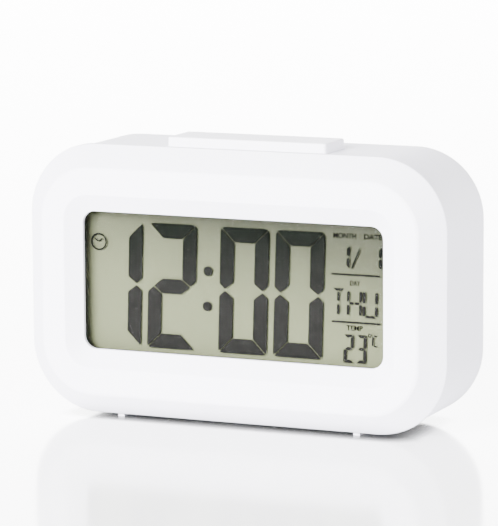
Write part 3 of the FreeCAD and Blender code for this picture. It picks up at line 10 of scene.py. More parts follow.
import bmesh
import bpy
import numpy as np
from bpy.props import FloatProperty, FloatVectorProperty, PointerProperty
from mathutils import Matrix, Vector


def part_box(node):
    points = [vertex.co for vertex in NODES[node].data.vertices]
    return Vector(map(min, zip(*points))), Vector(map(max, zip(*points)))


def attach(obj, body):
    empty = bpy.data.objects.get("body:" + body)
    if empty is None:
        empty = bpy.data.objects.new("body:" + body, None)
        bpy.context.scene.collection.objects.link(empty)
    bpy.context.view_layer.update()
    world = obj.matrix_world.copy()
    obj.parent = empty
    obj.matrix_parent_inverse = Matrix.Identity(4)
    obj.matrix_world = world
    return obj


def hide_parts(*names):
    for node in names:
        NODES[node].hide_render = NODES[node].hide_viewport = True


bl_info = {
    "name": "Desk clock dresser",
    "version": (1, 0, 0),
    "blender": (4, 5, 0),
    "location": "3D View > Sidebar > Clock",
    "description": "Finishes a white desk clock with a large display and sets its stage",
    "category": "Object",
}

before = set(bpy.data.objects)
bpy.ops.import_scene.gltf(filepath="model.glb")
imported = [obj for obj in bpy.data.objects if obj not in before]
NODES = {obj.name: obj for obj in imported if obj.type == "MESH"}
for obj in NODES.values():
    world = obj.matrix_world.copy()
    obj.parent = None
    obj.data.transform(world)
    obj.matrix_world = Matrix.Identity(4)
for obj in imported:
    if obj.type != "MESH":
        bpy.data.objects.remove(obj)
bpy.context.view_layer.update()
MM = 0.001

# The photograph's frame in pixels, and the camera that was fitted to the edges of the case in it
IMAGE_SIZE = (498, 526)
AXIS_PIXEL = (234.58, 287.42)
FOCAL_PIXELS = 3418.81
SENSOR = 36.0
# Depth from the front face back to the rim that the camera was fitted to, and where the camera starts to see
RIM_BACK = 6.6 * MM
CLIP_START = 0.01

# The soft light in front is square. Its side, and where it stands
KEY_SIDE = 0.8
KEY_PLACE = (-0.3, -1.4, 0.55)
# Half the floor's width, and how near a thing has to be over the floor for the painted shadow to darken it
FLOOR_HALF = 6.0
FLOOR_SHADOW_REACH = 5 * MM

# Painted shade on the display's film: the share of its colour kept from its foot, at 0, to its head, at 1
FILM_PAINTED_SHADE = ((0.19, 1.0), (0.31, 0.95), (0.43, 0.88), (0.54, 0.77), (0.66, 0.65), (0.75, 0.53), (0.82, 0.42),
              (0.89, 0.35), (1.0, 0.29))
# Painted shade slant: how much nearer its head a film point counts for each millimetre to its right
FILM_SHADE_SLANT = 0.15
# How far the glass's edges are ground away, and how far its block laps into the film, so that the two show as
# bonded
ARRIS = 0.1 * MM
SEAT = 0.05 * MM

# Words in the right-hand column: how far the outline is moved outwards as a share of the font's size, and
# left, right, low and high from the display's middle, in millimetres
DISPLAY_WORDS = (
    ("MONTH", 0.03, (31.0, 38.2, 16.3, 17.95)),
    ("DATE", 0.03, (40.7, 46.4, 16.4, 18.0)),
    ("DAY", 0.024, (36.2, 39.55, 2.4, 3.95)),
    ("TEMP", 0.022, (35.1, 40.3, -11.05, -9.5)),
)
# Words on the back: the piece each stands over, and how far aside and above the piece it is, in millimetres
BACK_WORDS = (
    ("MODE", "mode_button", 0.0, 1.6),
    ("SET", "set_button", 0.0, 1.6),
    ("UP", "up_button", 0.0, 1.6),
    ("DOWN", "down_button", 0.0, 1.6),
    ("ON", "alarm_slider", 2.9, 2.6),
    ("OFF", "alarm_slider", -2.2, 2.6),
)
# Height of those letters, the width of each as a share of it, and how far their outlines are moved outwards
BACK_HEIGHT = 1.5 * MM
BACK_SHAPE = 0.8
BACK_WEIGHT = 0.02
# How far the print lies in the wall and how far it stands out of it
PRINT_ROOT = 0.01 * MM
PRINT_RISE = 0.03 * MM

# An AAA cell in millimetres: its length, the bare plating at its flat end and the coloured band with the
# plating at its raised end
CELL_LENGTH = 44.5
CELL_BARE = 1.0
CELL_BAND = 10.0
# A wave texture repeats after a tenth of pi times this length, so the board's weave shows every 2 mm
WEAVE_LENGTH = 6.28 * MM
# Grain of the dark moulded parts that aren't meant to show
PLAIN_GRAIN = 0.4 * MM


def linear(code):
    """The linear red, green and blue of an sRGB hex colour."""
    parts = np.array([int(code[at:at + 2], 16) for at in (1, 3, 5)]) / 255.0
    curve = np.where(parts <= 0.04045, parts / 12.92, ((parts + 0.055) / 1.055) ** 2.4)
    return tuple(float(part) for part in curve)


def middle(node):
    """The middle of a CAD node's box."""
    low, high = (np.array(corner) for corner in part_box(node))
    return (low + high) / 2


def colour_property(title, words, code):
    """A colour that a user may change."""
    return FloatVectorProperty(name=title, description=words, subtype="COLOR", size=3, min=0.0, max=1.0,
                               default=linear(code))


class ClockCaseSettings(bpy.types.PropertyGroup):
    """Colours and surface of the moulded case."""
    shell: colour_property("Case", "Colour of the moulded case and battery door", "#F1F0FA")
    bar: colour_property("Snooze bar", "Colour of the bar on the top", "#F4F3FB")
    keys: colour_property("Keys", "Colour of the four buttons on the back", "#ECECEF")
    grain: FloatProperty(name="Grain", description="Width of the fine grain on the moulded faces",
                         default=0.0004, min=0.0001, max=0.002, unit="LENGTH", precision=5)


class ClockDisplaySettings(bpy.types.PropertyGroup):
    """Colours of the display and the height of its words."""
    background: colour_property("Background", "Colour of the reflecting film behind the glass", "#555943")
    # The segments' two colours are a painted reflection: the lighter foot stands in for the surround reflected
    # in the window.
    segments: colour_property("Segments", "Colour of the dark areas at the foot of the display", "#181817")
    segments_head: colour_property("Segments at the head", "Colour of the dark areas at its head", "#080B08")
    mask: colour_property("Mask", "Colour of the frame round the glass", "#0C0C0C")
    word_depth: FloatProperty(name="Word depth", description="Thickness of the words on the display",
                              default=0.0001, min=0.00002, max=0.001, unit="LENGTH", precision=5)


class ClockInsideSettings(bpy.types.PropertyGroup):
    """Colours of the parts inside."""
    board: colour_property("Boards", "Colour of the solder mask on the boards", "#2F6B3C")
    steel: colour_property("Plated steel", "Colour of the nickel plating on springs and screws", "#C9C6BE")
    cell: colour_property("Cells", "Colour of the sleeves on the three cells", "#2C2D2F")
    cell_band: colour_property("Cell band", "Colour of the band at each cell's raised end", "#B98A4A")
    red_wire: colour_property("Positive lead", "Colour of the lead from the raised end", "#B3201D")
    black_wire: colour_property("Negative lead", "Colour of the lead from the flat end", "#1B1B1C")


class ClockStageSettings(bpy.types.PropertyGroup):
    """The floor, the light and the camera."""
    floor: colour_property("Floor", "Colour of the floor", "#D8D8DA")
    key_power: FloatProperty(name="Key light", description="Power of the soft light in front",
                             default=175.0, min=0.0, max=500.0, unit="POWER")
    glow: FloatProperty(name="Floor glow", description="Light that comes up through the floor",
                        default=1.6, min=0.0, max=20.0)
    surround: FloatProperty(name="Surround", description="Brightness of the white surround",
                            default=1.6, min=0.0, max=20.0)
    backdrop: FloatProperty(name="Backdrop", description="Extra brightness of the backdrop behind the clock",
                            default=24.0, min=0.0, max=60.0)
    turn: FloatProperty(name="Camera turn", description="How far round to the right the camera stands",
                        default=math.radians(23.87), subtype="ANGLE")
    rise: FloatProperty(name="Camera rise", description="How far above level the camera stands",
                        default=math.radians(9.39), subtype="ANGLE")
    roll: FloatProperty(name="Camera roll", description="How far the camera is tipped to one side",
                        default=math.radians(-0.43), subtype="ANGLE")
    distance: FloatProperty(name="Camera distance", description="Distance to the middle of the case's front",
                            default=1.01945, min=0.1, unit="LENGTH")


class ClockSettings(bpy.types.PropertyGroup):
    """All that a user may change on the clock."""
    case: PointerProperty(type=ClockCaseSettings)
    display: PointerProperty(type=ClockDisplaySettings)
    inside: PointerProperty(type=ClockInsideSettings)
    stage: PointerProperty(type=ClockStageSettings)


def add(tree, kind, settings=None, inputs=None, stops=()):
    """A shader node with its settings, its numbers, its links and its colour stops.

    An input given a socket is linked to it, and a stop is a position from 0 to 1 with its colour.
    """
    node = tree.nodes.new(kind)
    for name, value in (settings or {}).items():
        setattr(node, name, value)
    for name, value in (inputs or {}).items():
        socket = node.inputs[name]
        if isinstance(value, bpy.types.NodeSocket):
            tree.links.new(value, socket)
        else:
            socket.default_value = value
    if stops:
        elements = node.color_ramp.elements
        elements.remove(elements[-1])
        for at, (position, colour) in enumerate(stops):
            element = elements.new(position) if at else elements[0]
            element.position = position
            element.color = (*colour, 1.0)
    return node


def new_material(name):
    """An empty material's tree, its output node and the object's own coordinates."""
    material = bpy.data.materials.new(name)
    material.use_nodes = True
    tree = material.node_tree
    tree.nodes.clear()
    output = add(tree, "ShaderNodeOutputMaterial")
    place = add(tree, "ShaderNodeTexCoord").outputs["Object"]
    return material, tree, output, place


def shade(colour, factor):
    """A colour made darker or lighter by a factor, kept within white."""
    return tuple(min(1.0, part * factor) for part in colour)


def moulded_abs(name, colour, grain, roughness=0.4, gloss=0.5, spread=0.015):
    """Injection-moulded ABS: a satin face with the fine even grain of a spark-eroded mould."""
    # The grain breaks up the highlights, and slow drifts in shade and gloss show how the melt flowed.
    material, tree, output, place = new_material(name)
    drift = add(tree, "ShaderNodeTexNoise", inputs={"Vector": place, "Scale": 1 / (45 * MM), "Detail": 2.0})
    fine = add(tree, "ShaderNodeTexNoise", inputs={"Vector": place, "Scale": 1 / grain, "Detail": 3.0})
    tone = add(tree, "ShaderNodeValToRGB", inputs={"Fac": drift.outputs["Fac"]},
               stops=((0.3, shade(colour, 1 - spread)), (0.7, shade(colour, 1 + spread))))
    polish = add(tree, "ShaderNodeMapRange", inputs={"Value": fine.outputs["Fac"], "From Min": 0.3,
                                                     "From Max": 0.7, "To Min": roughness - 0.05,
                                                     "To Max": roughness + 0.05})
    bump = add(tree, "ShaderNodeBump", inputs={"Strength": 0.35, "Distance": 0.00001,
                                               "Height": fine.outputs["Fac"]})
    shader = add(tree, "ShaderNodeBsdfPrincipled", inputs={
        "Base Color": tone.outputs["Color"], "Roughness": polish.outputs["Result"], "IOR": 1.54,
        "Specular IOR Level": gloss, "Normal": bump.outputs["Normal"]})
    tree.links.new(shader.outputs["BSDF"], output.inputs["Surface"])
    return material


def clear_sheet(name, colour, alpha, roughness, ior):
    """A thin clear sheet: most light goes straight through, and the rest shows as a faint tint and gloss."""
    # Very faint waves from rolling or casting keep its reflection from being a perfect mirror.
    material, tree, output, place = new_material(name)
    waves = add(tree, "ShaderNodeTexNoise", inputs={"Vector": place, "Scale": 1 / (12 * MM), "Detail": 1.0})
    bump = add(tree, "ShaderNodeBump", inputs={"Strength": 0.05, "Distance": 0.00002,
                                               "Height": waves.outputs["Fac"]})
    tone = add(tree, "ShaderNodeValToRGB", inputs={"Fac": waves.outputs["Fac"]},
               stops=((0.35, shade(colour, 0.99)), (0.65, shade(colour, 1.01))))
    shader = add(tree, "ShaderNodeBsdfPrincipled", inputs={
        "Base Color": tone.outputs["Color"], "Roughness": roughness, "IOR": ior, "Alpha": alpha,
        "Normal": bump.outputs["Normal"]})
    tree.links.new(shader.outputs["BSDF"], output.inputs["Surface"])
    material.surface_render_method = "BLENDED"
    return material


def switched_crystal(name, foot, head, low, high):
    """Switched liquid crystal: near black with no gloss of its own; a painted reflection makes it lighter at
    its foot.
    """
    # The cloudiness is what polarised light shows over an area of liquid crystal.
    material, tree, output, place = new_material(name)
    cloud = add(tree, "ShaderNodeTexNoise", inputs={"Vector": place, "Scale": 1 / (6 * MM), "Detail": 2.0})
    height = add(tree, "ShaderNodeSeparateXYZ", inputs={"Vector": place}).outputs["Z"]
    rise = add(tree, "ShaderNodeMapRange", inputs={"Value": height, "From Min": low, "From Max": high})
    # Painted reflection: the segments run from the lighter foot colour up to the darker head colour.
    painted_reflection = add(tree, "ShaderNodeValToRGB", inputs={"Fac": rise.outputs["Result"]},
                stops=((0.4, foot), (0.9, head)))
    drift = add(tree, "ShaderNodeValToRGB", inputs={"Fac": cloud.outputs["Fac"]},
                stops=((0.3, (0.9,) * 3), (0.7, (1.0,) * 3)))
    tone = add(tree, "ShaderNodeMix", {"data_type": "RGBA", "blend_type": "MULTIPLY"},
               {0: 1.0, 6: painted_reflection.outputs["Color"], 7: drift.outputs["Color"]})
    shader = add(tree, "ShaderNodeBsdfPrincipled", inputs={
        "Base Color": tone.outputs[2], "Roughness": 0.6, "IOR": 1.5, "Specular IOR Level": 0.0})
    tree.links.new(shader.outputs["BSDF"], output.inputs["Surface"])
    return material


def printed_area(name, colour, gloss=0.5):
    """A printed or switched mark: an even matt film with the slightest cloudiness."""
    # The film is only a few micrometres thick, so its shade is never quite even.
    material, tree, output, place = new_material(name)
    cloud = add(tree, "ShaderNodeTexNoise", inputs={"Vector": place, "Scale": 1 / (6 * MM), "Detail": 2.0})
    tone = add(tree, "ShaderNodeValToRGB", inputs={"Fac": cloud.outputs["Fac"]},
               stops=((0.3, shade(colour, 0.93)), (0.7, shade(colour, 1.07))))
    shader = add(tree, "ShaderNodeBsdfPrincipled", inputs={
        "Base Color": tone.outputs["Color"], "Roughness": 0.55, "IOR": 1.5, "Specular IOR Level": gloss})
    tree.links.new(shader.outputs["BSDF"], output.inputs["Surface"])
    return material


def reflecting_film(name, colour, low, high):
    """A pearly reflecting film of coated polyester: grey-green with a fine silvery sparkle."""
    # Fine flakes in the coat give the background of a plain display its slightly grainy look. Its colour is
    # also painted darker toward its head and its right: painted shade standing in for the shadow of the recess
    # over it.
    material, tree, output, place = new_material(name)
    flakes = add(tree, "ShaderNodeTexNoise",
                 inputs={"Vector": place, "Scale": 1 / (0.35 * MM), "Detail": 2.0})
    fine = add(tree, "ShaderNodeValToRGB", inputs={"Fac": flakes.outputs["Fac"]},
               stops=((0.35, shade(colour, 0.965)), (0.65, shade(colour, 1.035))))
    height = add(tree, "ShaderNodeVectorMath", {"operation": "DOT_PRODUCT"},
                 {0: place, 1: (FILM_SHADE_SLANT, 0.0, 1.0)})
    rise = add(tree, "ShaderNodeMapRange", inputs={"Value": height.outputs["Value"], "From Min": low,
                                                   "From Max": high})
    # Painted shade: the film's colour is scaled down toward its head and its right.
    painted_shade = add(tree, "ShaderNodeValToRGB", inputs={"Fac": rise.outputs["Result"]},
               stops=[(position, (share,) * 3) for position, share in FILM_PAINTED_SHADE])
    tone = add(tree, "ShaderNodeMix", {"data_type": "RGBA", "blend_type": "MULTIPLY"},
               {0: 1.0, 6: fine.outputs["Color"], 7: painted_shade.outputs["Color"]})
    shader = add(tree, "ShaderNodeBsdfPrincipled", inputs={
        "Base Color": tone.outputs[2], "Roughness": 0.5, "IOR": 1.5, "Specular IOR Level": 0.1})
    tree.links.new(shader.outputs["BSDF"], output.inputs["Surface"])
    return material


def plated_steel(name, colour):
    """Nickel-plated steel: bright, with fine draw marks along it and a little unevenness in the plating."""
    # The marks stretch the highlights, and slow patches of gloss show the handling.
    material, tree, output, place = new_material(name)
    stretch = add(tree, "ShaderNodeMapping", inputs={"Vector": place, "Scale": (0.15, 1.0, 1.0)})
    marks = add(tree, "ShaderNodeTexNoise", inputs={"Vector": stretch.outputs["Vector"],
                                                    "Scale": 1 / (0.2 * MM), "Detail": 3.0})
    patches = add(tree, "ShaderNodeTexNoise", inputs={"Vector": place, "Scale": 1 / (3 * MM), "Detail": 2.0})
    tone = add(tree, "ShaderNodeValToRGB", inputs={"Fac": patches.outputs["Fac"]},
               stops=((0.3, shade(colour, 0.92)), (0.7, shade(colour, 1.04))))
    gloss = add(tree, "ShaderNodeMapRange", inputs={"Value": patches.outputs["Fac"], "To Min": 0.2,
                                                    "To Max": 0.38})
    bump = add(tree, "ShaderNodeBump", inputs={"Strength": 0.2, "Distance": 0.00001,
                                               "Height": marks.outputs["Fac"]})
    shader = add(tree, "ShaderNodeBsdfPrincipled", inputs={
        "Base Color": tone.outputs["Color"], "Metallic": 1.0, "Roughness": gloss.outputs["Result"],
        "Normal": bump.outputs["Normal"]})
    tree.links.new(shader.outputs["BSDF"], output.inputs["Surface"])
    return material


def glass_fibre_board(name, colour):
    """Glass-fibre laminate under green solder mask: the weave shows faintly as a square pattern."""
    # The bundles of glass lift the mask by a few micrometres, so it shines in small squares.
    material, tree, output, place = new_material(name)
    pattern = add(tree, "ShaderNodeTexWave", {"wave_type": "BANDS", "bands_direction": "X"},
                  {"Vector": place, "Scale": 1 / WEAVE_LENGTH, "Distortion": 0.4})
    across = add(tree, "ShaderNodeTexWave", {"wave_type": "BANDS", "bands_direction": "Z"},
                 {"Vector": place, "Scale": 1 / WEAVE_LENGTH, "Distortion": 0.4})
    weave = add(tree, "ShaderNodeMath", {"operation": "MULTIPLY"},
                {0: pattern.outputs["Fac"], 1: across.outputs["Fac"]})
    tone = add(tree, "ShaderNodeValToRGB", inputs={"Fac": weave.outputs["Value"]},
               stops=((0.0, shade(colour, 0.85)), (1.0, shade(colour, 1.15))))
    bump = add(tree, "ShaderNodeBump", inputs={"Strength": 0.3, "Distance": 0.00001,
                                               "Height": weave.outputs["Value"]})
    shader = add(tree, "ShaderNodeBsdfPrincipled", inputs={
        "Base Color": tone.outputs["Color"], "Roughness": 0.3, "IOR": 1.55, "Normal": bump.outputs["Normal"]})
    tree.links.new(shader.outputs["BSDF"], output.inputs["Surface"])
    return material


def sleeved_cell(name, sleeve, band, steel, ends):
    """A steel can in a shrunk plastic sleeve: bare plating at both ends, a coloured band at the raised one."""
    # The ramps change at the sleeve's ends and at the band's edge, along the cell from its flat end.
    low, high, raised = ends
    material, tree, output, place = new_material(name)
    along = add(tree, "ShaderNodeSeparateXYZ", inputs={"Vector": place}).outputs["X"]
    run = add(tree, "ShaderNodeMapRange",
              inputs={"Value": along, "From Min": low, "From Max": high}).outputs["Result"]
    if raised < 0:
        run = add(tree, "ShaderNodeMath", {"operation": "SUBTRACT"}, {0: 1.0, 1: run}).outputs["Value"]
    scuffs = add(tree, "ShaderNodeTexNoise", inputs={"Vector": place, "Scale": 1 / (4 * MM), "Detail": 1.0})
    step = 0.001
    foot, shoulder = CELL_BARE / CELL_LENGTH, 1 - CELL_BAND / CELL_LENGTH
    head = 1 - 2 * foot
    tone = add(tree, "ShaderNodeValToRGB", inputs={"Fac": run},
               stops=((0.0, steel), (foot, steel), (foot + step, sleeve), (shoulder, sleeve),
                      (shoulder + step, band), (head, band), (head + step, steel)))
    bare = add(tree, "ShaderNodeValToRGB", inputs={"Fac": run},
               stops=((0.0, (1.0,) * 3), (foot, (1.0,) * 3), (foot + step, (0.0,) * 3), (head, (0.0,) * 3),
                      (head + step, (1.0,) * 3)))
    gloss = add(tree, "ShaderNodeMapRange", inputs={"Value": scuffs.outputs["Fac"], "To Min": 0.24,
                                                    "To Max": 0.34})
    bump = add(tree, "ShaderNodeBump", inputs={"Strength": 0.1, "Distance": 0.00001,
                                               "Height": scuffs.outputs["Fac"]})
    shader = add(tree, "ShaderNodeBsdfPrincipled", inputs={
        "Base Color": tone.outputs["Color"], "Metallic": bare.outputs["Color"],
        "Roughness": gloss.outputs["Result"], "Normal": bump.outputs["Normal"]})
    tree.links.new(shader.outputs["BSDF"], output.inputs["Surface"])
    return material


def soft_cover(name, colour, roughness=0.5):
    """Extruded PVC, moulded rubber or potted epoxy: soft-looking, with a dull and slightly uneven skin."""
    # The unevenness keeps a thin lead or a small block from showing as one flat colour.
    material, tree, output, place = new_material(name)
    skin = add(tree, "ShaderNodeTexNoise", inputs={"Vector": place, "Scale": 1 / (0.8 * MM), "Detail": 2.0})
    tone = add(tree, "ShaderNodeValToRGB", inputs={"Fac": skin.outputs["Fac"]},
               stops=((0.3, shade(colour, 0.93)), (0.7, shade(colour, 1.07))))
    bump = add(tree, "ShaderNodeBump", inputs={"Strength": 0.15, "Distance": 0.00002,
                                               "Height": skin.outputs["Fac"]})
    shader = add(tree, "ShaderNodeBsdfPrincipled", inputs={
        "Base Color": tone.outputs["Color"], "Roughness": roughness, "IOR": 1.5,
        "Normal": bump.outputs["Normal"]})
    tree.links.new(shader.outputs["BSDF"], output.inputs["Surface"])
    return material


def studio_floor(name, colour, glow):
    """A white acrylic sheet lit from below: matt white under a clear gloss that mirrors what stands on it."""
    # The light from below hides the soft shadow, and the gloss leaves the faint mirror image of the clock.
    # Painted shadow: where the clock stands close over the sheet, its colour and its glow are darkened under
    # it.
    material, tree, output, place = new_material(name)
    drift = add(tree, "ShaderNodeTexNoise", inputs={"Vector": place, "Scale": 1 / (250 * MM), "Detail": 1.0})
    tone = add(tree, "ShaderNodeValToRGB", inputs={"Fac": drift.outputs["Fac"]},
               stops=((0.3, shade(colour, 0.995)), (0.7, shade(colour, 1.005))))
    sight = add(tree, "ShaderNodeAmbientOcclusion", {"samples": 16}, {"Distance": FLOOR_SHADOW_REACH})
    painted_shadow = add(tree, "ShaderNodeMath", {"operation": "POWER"},
                   {0: sight.outputs["AO"], 1: 2.0}).outputs["Value"]
    light = add(tree, "ShaderNodeMath", {"operation": "MULTIPLY"}, {0: painted_shadow, 1: glow})
    # Painted shadow on the sheet's own colour as well as on its glow.
    sheet = add(tree, "ShaderNodeMix", {"data_type": "RGBA", "blend_type": "MULTIPLY"},
                {0: 1.0, 6: tone.outputs["Color"], 7: painted_shadow})
    shader = add(tree, "ShaderNodeBsdfPrincipled", inputs={
        "Base Color": sheet.outputs[2], "Roughness": 0.12, "IOR": 1.5,
        "Emission Color": (1.0, 1.0, 1.0, 1.0), "Emission Strength": light.outputs["Value"]})
    tree.links.new(shader.outputs["BSDF"], output.inputs["Surface"])
    return material


def lit_surround(name, surround, backdrop):
    """A white room with a lit backdrop: brightness is even all round and rises smoothly low down behind."""
    world = bpy.data.worlds.new(name)
    world.use_nodes = True
    tree = world.node_tree
    tree.nodes.clear()
    way = add(tree, "ShaderNodeTexCoord").outputs["Generated"]
    parts = add(tree, "ShaderNodeSeparateXYZ", inputs={"Vector": way})
    behind = add(tree, "ShaderNodeMapRange", {"interpolation_type": "SMOOTHSTEP"},
                 {"Value": parts.outputs["Y"], "From Min": 0.3, "From Max": 0.8})
    low = add(tree, "ShaderNodeMapRange", {"interpolation_type": "SMOOTHSTEP"},
              {"Value": parts.outputs["Z"], "From Min": 0.36, "From Max": 0.22})
    band = add(tree, "ShaderNodeMath", {"operation": "MULTIPLY"},
               {0: behind.outputs["Result"], 1: low.outputs["Result"]})
    level = add(tree, "ShaderNodeMath", {"operation": "MULTIPLY_ADD"},
                {0: band.outputs["Value"], 1: backdrop, 2: surround})
    light = add(tree, "ShaderNodeBackground", inputs={"Strength": level.outputs["Value"]})
    output = add(tree, "ShaderNodeOutputWorld")
    tree.links.new(light.outputs["Background"], output.inputs["Surface"])
    return world


def paint(material, *names):
    """Gives CAD nodes a finish in place of their plain colour."""
    for name in names:
        slots = NODES[name].data.materials
        if not slots:
            slots.append(material)
        for at in range(len(slots)):
            slots[at] = material


def mesh_object(name, mesh, material):
    """A new object at the origin with its mesh and finish."""
    obj = bpy.data.objects.new(name, mesh)
    bpy.context.scene.collection.objects.link(obj)
    mesh.materials.clear()
    mesh.materials.append(material)
    return obj


def cell_mesh(name, low, high, step, ledge):
    """The display's glasses as one closed block: a rectangle carried back through the depths of its profile.

    Each ring is the block's outline drawn in by the arris at its front and back, and its lower edge is raised
    by the step behind the ledge, where the rear glass stops short of the front one.
    """
    depths = np.array((low[1], low[1] + ARRIS, ledge, ledge, high[1] - ARRIS, high[1]))
    inset = np.array((ARRIS, 0.0, 0.0, 0.0, 0.0, ARRIS))
    foot = low[2] + np.array((ARRIS, 0.0, 0.0, step, step, step + ARRIS))
    left, right, top = low[0] + inset, high[0] - inset, high[2] - inset
    rings = np.stack((np.stack((left, depths, foot), axis=1), np.stack((right, depths, foot), axis=1),
                      np.stack((right, depths, top), axis=1), np.stack((left, depths, top), axis=1)), axis=1)
    count = len(depths)
    index = np.arange(count * 4).reshape(count, 4)
    following = np.roll(index, -1, axis=1)
    walls = np.stack((index[:-1], index[1:], following[1:], following[:-1]), axis=2).reshape(-1, 4)
    faces = walls.tolist() + [index[0].tolist(), index[-1][::-1].tolist()]
    mesh = bpy.data.meshes.new(name)
    mesh.from_pydata(rings.reshape(-1, 3).tolist(), [], faces)
    form = bmesh.new()
    form.from_mesh(mesh)
    bmesh.ops.recalc_face_normals(form, faces=form.faces)
    form.to_mesh(mesh)
    form.free()
    return mesh


def word_mesh(text, box, depth_range, weight, from_behind=False):
    """A word as a closed solid: its outline is stretched to the box and carried from one depth to another."""
    left, right, low, high = box
    near, far = depth_range
    curve = bpy.data.curves.new(text, "FONT")
    curve.body = text
    curve.extrude = 0.5
    curve.resolution_u = 4
    curve.offset = weight
    holder = bpy.data.objects.new(text, curve)
    bpy.context.scene.collection.objects.link(holder)
    bpy.context.view_layer.update()
    mesh = bpy.data.meshes.new_from_object(holder.evaluated_get(bpy.context.evaluated_depsgraph_get()))
    bpy.data.objects.remove(holder)
    bpy.data.curves.remove(curve)
    flat = np.empty(len(mesh.vertices) * 3)
    mesh.vertices.foreach_get("co", flat)
    points = flat.reshape(-1, 3)
    start, end = points.min(axis=0), points.max(axis=0)
    share = (points - start) / (end - start)
    share_x = 1 - share[:, 0] if from_behind else share[:, 0]
    share_y = share[:, 2] if from_behind else 1 - share[:, 2]
    placed = np.stack((left + share_x * (right - left), near + share_y * (far - near),
                       low + share[:, 1] * (high - low)), axis=1)
    mesh.vertices.foreach_set("co", placed.ravel())
    form = bmesh.new()
    form.from_mesh(mesh)
    bmesh.ops.remove_doubles(form, verts=form.verts, dist=1e-7)
    bmesh.ops.recalc_face_normals(form, faces=form.faces)
    form.to_mesh(mesh)
    form.free()
    mesh.update()
    return mesh


class CLOCK_OT_case(bpy.types.Operator):
    """Finish the front frame, the rear shell and the battery door in white ABS"""
    bl_idname = "clock.case"
    bl_label = "Case and door"

    def execute(self, context):
        settings = context.scene.clock.case
        paint(moulded_abs("abs_white_moulded", settings.shell, settings.grain, roughness=0.62, gloss=0.3),
              "front_bezel", "rear_case", "battery_door")
        return {"FINISHED"}


class CLOCK_OT_keys(bpy.types.Operator):
    """Finish the snooze bar, the four buttons, the slider and the dark plungers under them"""
    bl_idname = "clock.keys"
    bl_label = "Bar and buttons"

    def execute(self, context):
        settings = context.scene.clock.case
        paint(moulded_abs("abs_white_bar", settings.bar, settings.grain, roughness=0.62, gloss=0.3),
              "snooze_bar")
        paint(moulded_abs("abs_white_keys", settings.keys, settings.grain, roughness=0.36),
              "mode_button", "set_button", "up_button", "down_button")
        dark = linear("#1C1C1D")
        paint(moulded_abs("nylon_black_moulded", dark, settings.grain, roughness=0.45, spread=0.08),
              "alarm_slider", "mode_plunger", "set_plunger", "up_plunger", "down_plunger", "snooze_plunger")
        return {"FINISHED"}


class CLOCK_OT_display(bpy.types.Operator):
    """Finish the window, the mask, the glasses, the films, the segments and the back light"""
    bl_idname = "clock.display"
    bl_label = "Display"

    def execute(self, context):
        settings = context.scene.clock.display
        paint(clear_sheet("polystyrene_window", linear("#202120"), alpha=0.012, roughness=0.1, ior=1.49),
              "display_window")
        paint(moulded_abs("abs_black_mask", settings.mask, PLAIN_GRAIN, roughness=0.5, spread=0.08),
              "lcd_frame")
        low, high = (np.array(corner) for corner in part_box("lcd_front_glass"))
        low[1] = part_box("front_polariser")[0][1]
        high[1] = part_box("lcd_rear_glass")[1][1] + SEAT
        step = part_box("lcd_rear_glass")[0][2] - low[2]
        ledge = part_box("lcd_segments")[0][1]
        glass = clear_sheet("polarised_float_glass", linear("#1E201C"), alpha=0.015, roughness=0.3, ior=1.52)
        cell = mesh_object("display_cell", cell_mesh("display_cell", low, high, step, ledge), glass)
        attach(cell, "case")
        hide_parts("front_polariser", "lcd_front_glass", "lcd_rear_glass")
        foot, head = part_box("lcd_segments")[0][2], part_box("lcd_reflector")[1][2]
        paint(reflecting_film("polyester_reflector", settings.background, foot, head), "lcd_reflector")
        paint(switched_crystal("liquid_crystal_dark", settings.segments, settings.segments_head, foot, head),
              "lcd_segments")
        paint(clear_sheet("acrylic_light_guide", linear("#EDF1EC"), alpha=0.35, roughness=0.3, ior=1.49),
              "light_guide", "backlight_leds")
        paint(soft_cover("silicone_contact_strip", linear("#8D8D90"), roughness=0.7), "contact_strip")
        return {"FINISHED"}


class CLOCK_OT_display_words(bpy.types.Operator):
    """Make the four words in the right-hand column of the display"""
    bl_idname = "clock.display_words"
    bl_label = "Display words"

    def execute(self, context):
        settings = context.scene.clock.display
        material = printed_area("liquid_crystal_words", linear("#030303"), gloss=0.0)
        centre = middle("lcd_reflector")
        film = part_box("lcd_reflector")[0][1]
        for text, weight, (left, right, low, high) in DISPLAY_WORDS:
            box = (centre[0] + left * MM, centre[0] + right * MM, centre[2] + low * MM, centre[2] + high * MM)
            mesh = word_mesh(text, box, (film - settings.word_depth, film + SEAT / 2), weight)
            piece = mesh_object("word_" + text.lower(), mesh, material)
            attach(piece, "case")
        return {"FINISHED"}


class CLOCK_OT_back_words(bpy.types.Operator):
    """Print the plain words over the buttons and the slider on the back"""
    bl_idname = "clock.back_words"
    bl_label = "Back words"

    def execute(self, context):
        material = printed_area("pad_printed_grey", linear("#4A4B4F"))
        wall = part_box("rear_case")[1][1]
        for text, node, across, rise in BACK_WORDS:
            centre = middle(node)
            width = BACK_HEIGHT * BACK_SHAPE * len(text)
            x = centre[0] + across * MM
            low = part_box(node)[1][2] + rise * MM
            mesh = word_mesh(text, (x - width / 2, x + width / 2, low, low + BACK_HEIGHT),
                             (wall - PRINT_ROOT, wall + PRINT_RISE), BACK_WEIGHT, from_behind=True)
            piece = mesh_object("print_" + text.lower(), mesh, material)
            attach(piece, "case")
        return {"FINISHED"}


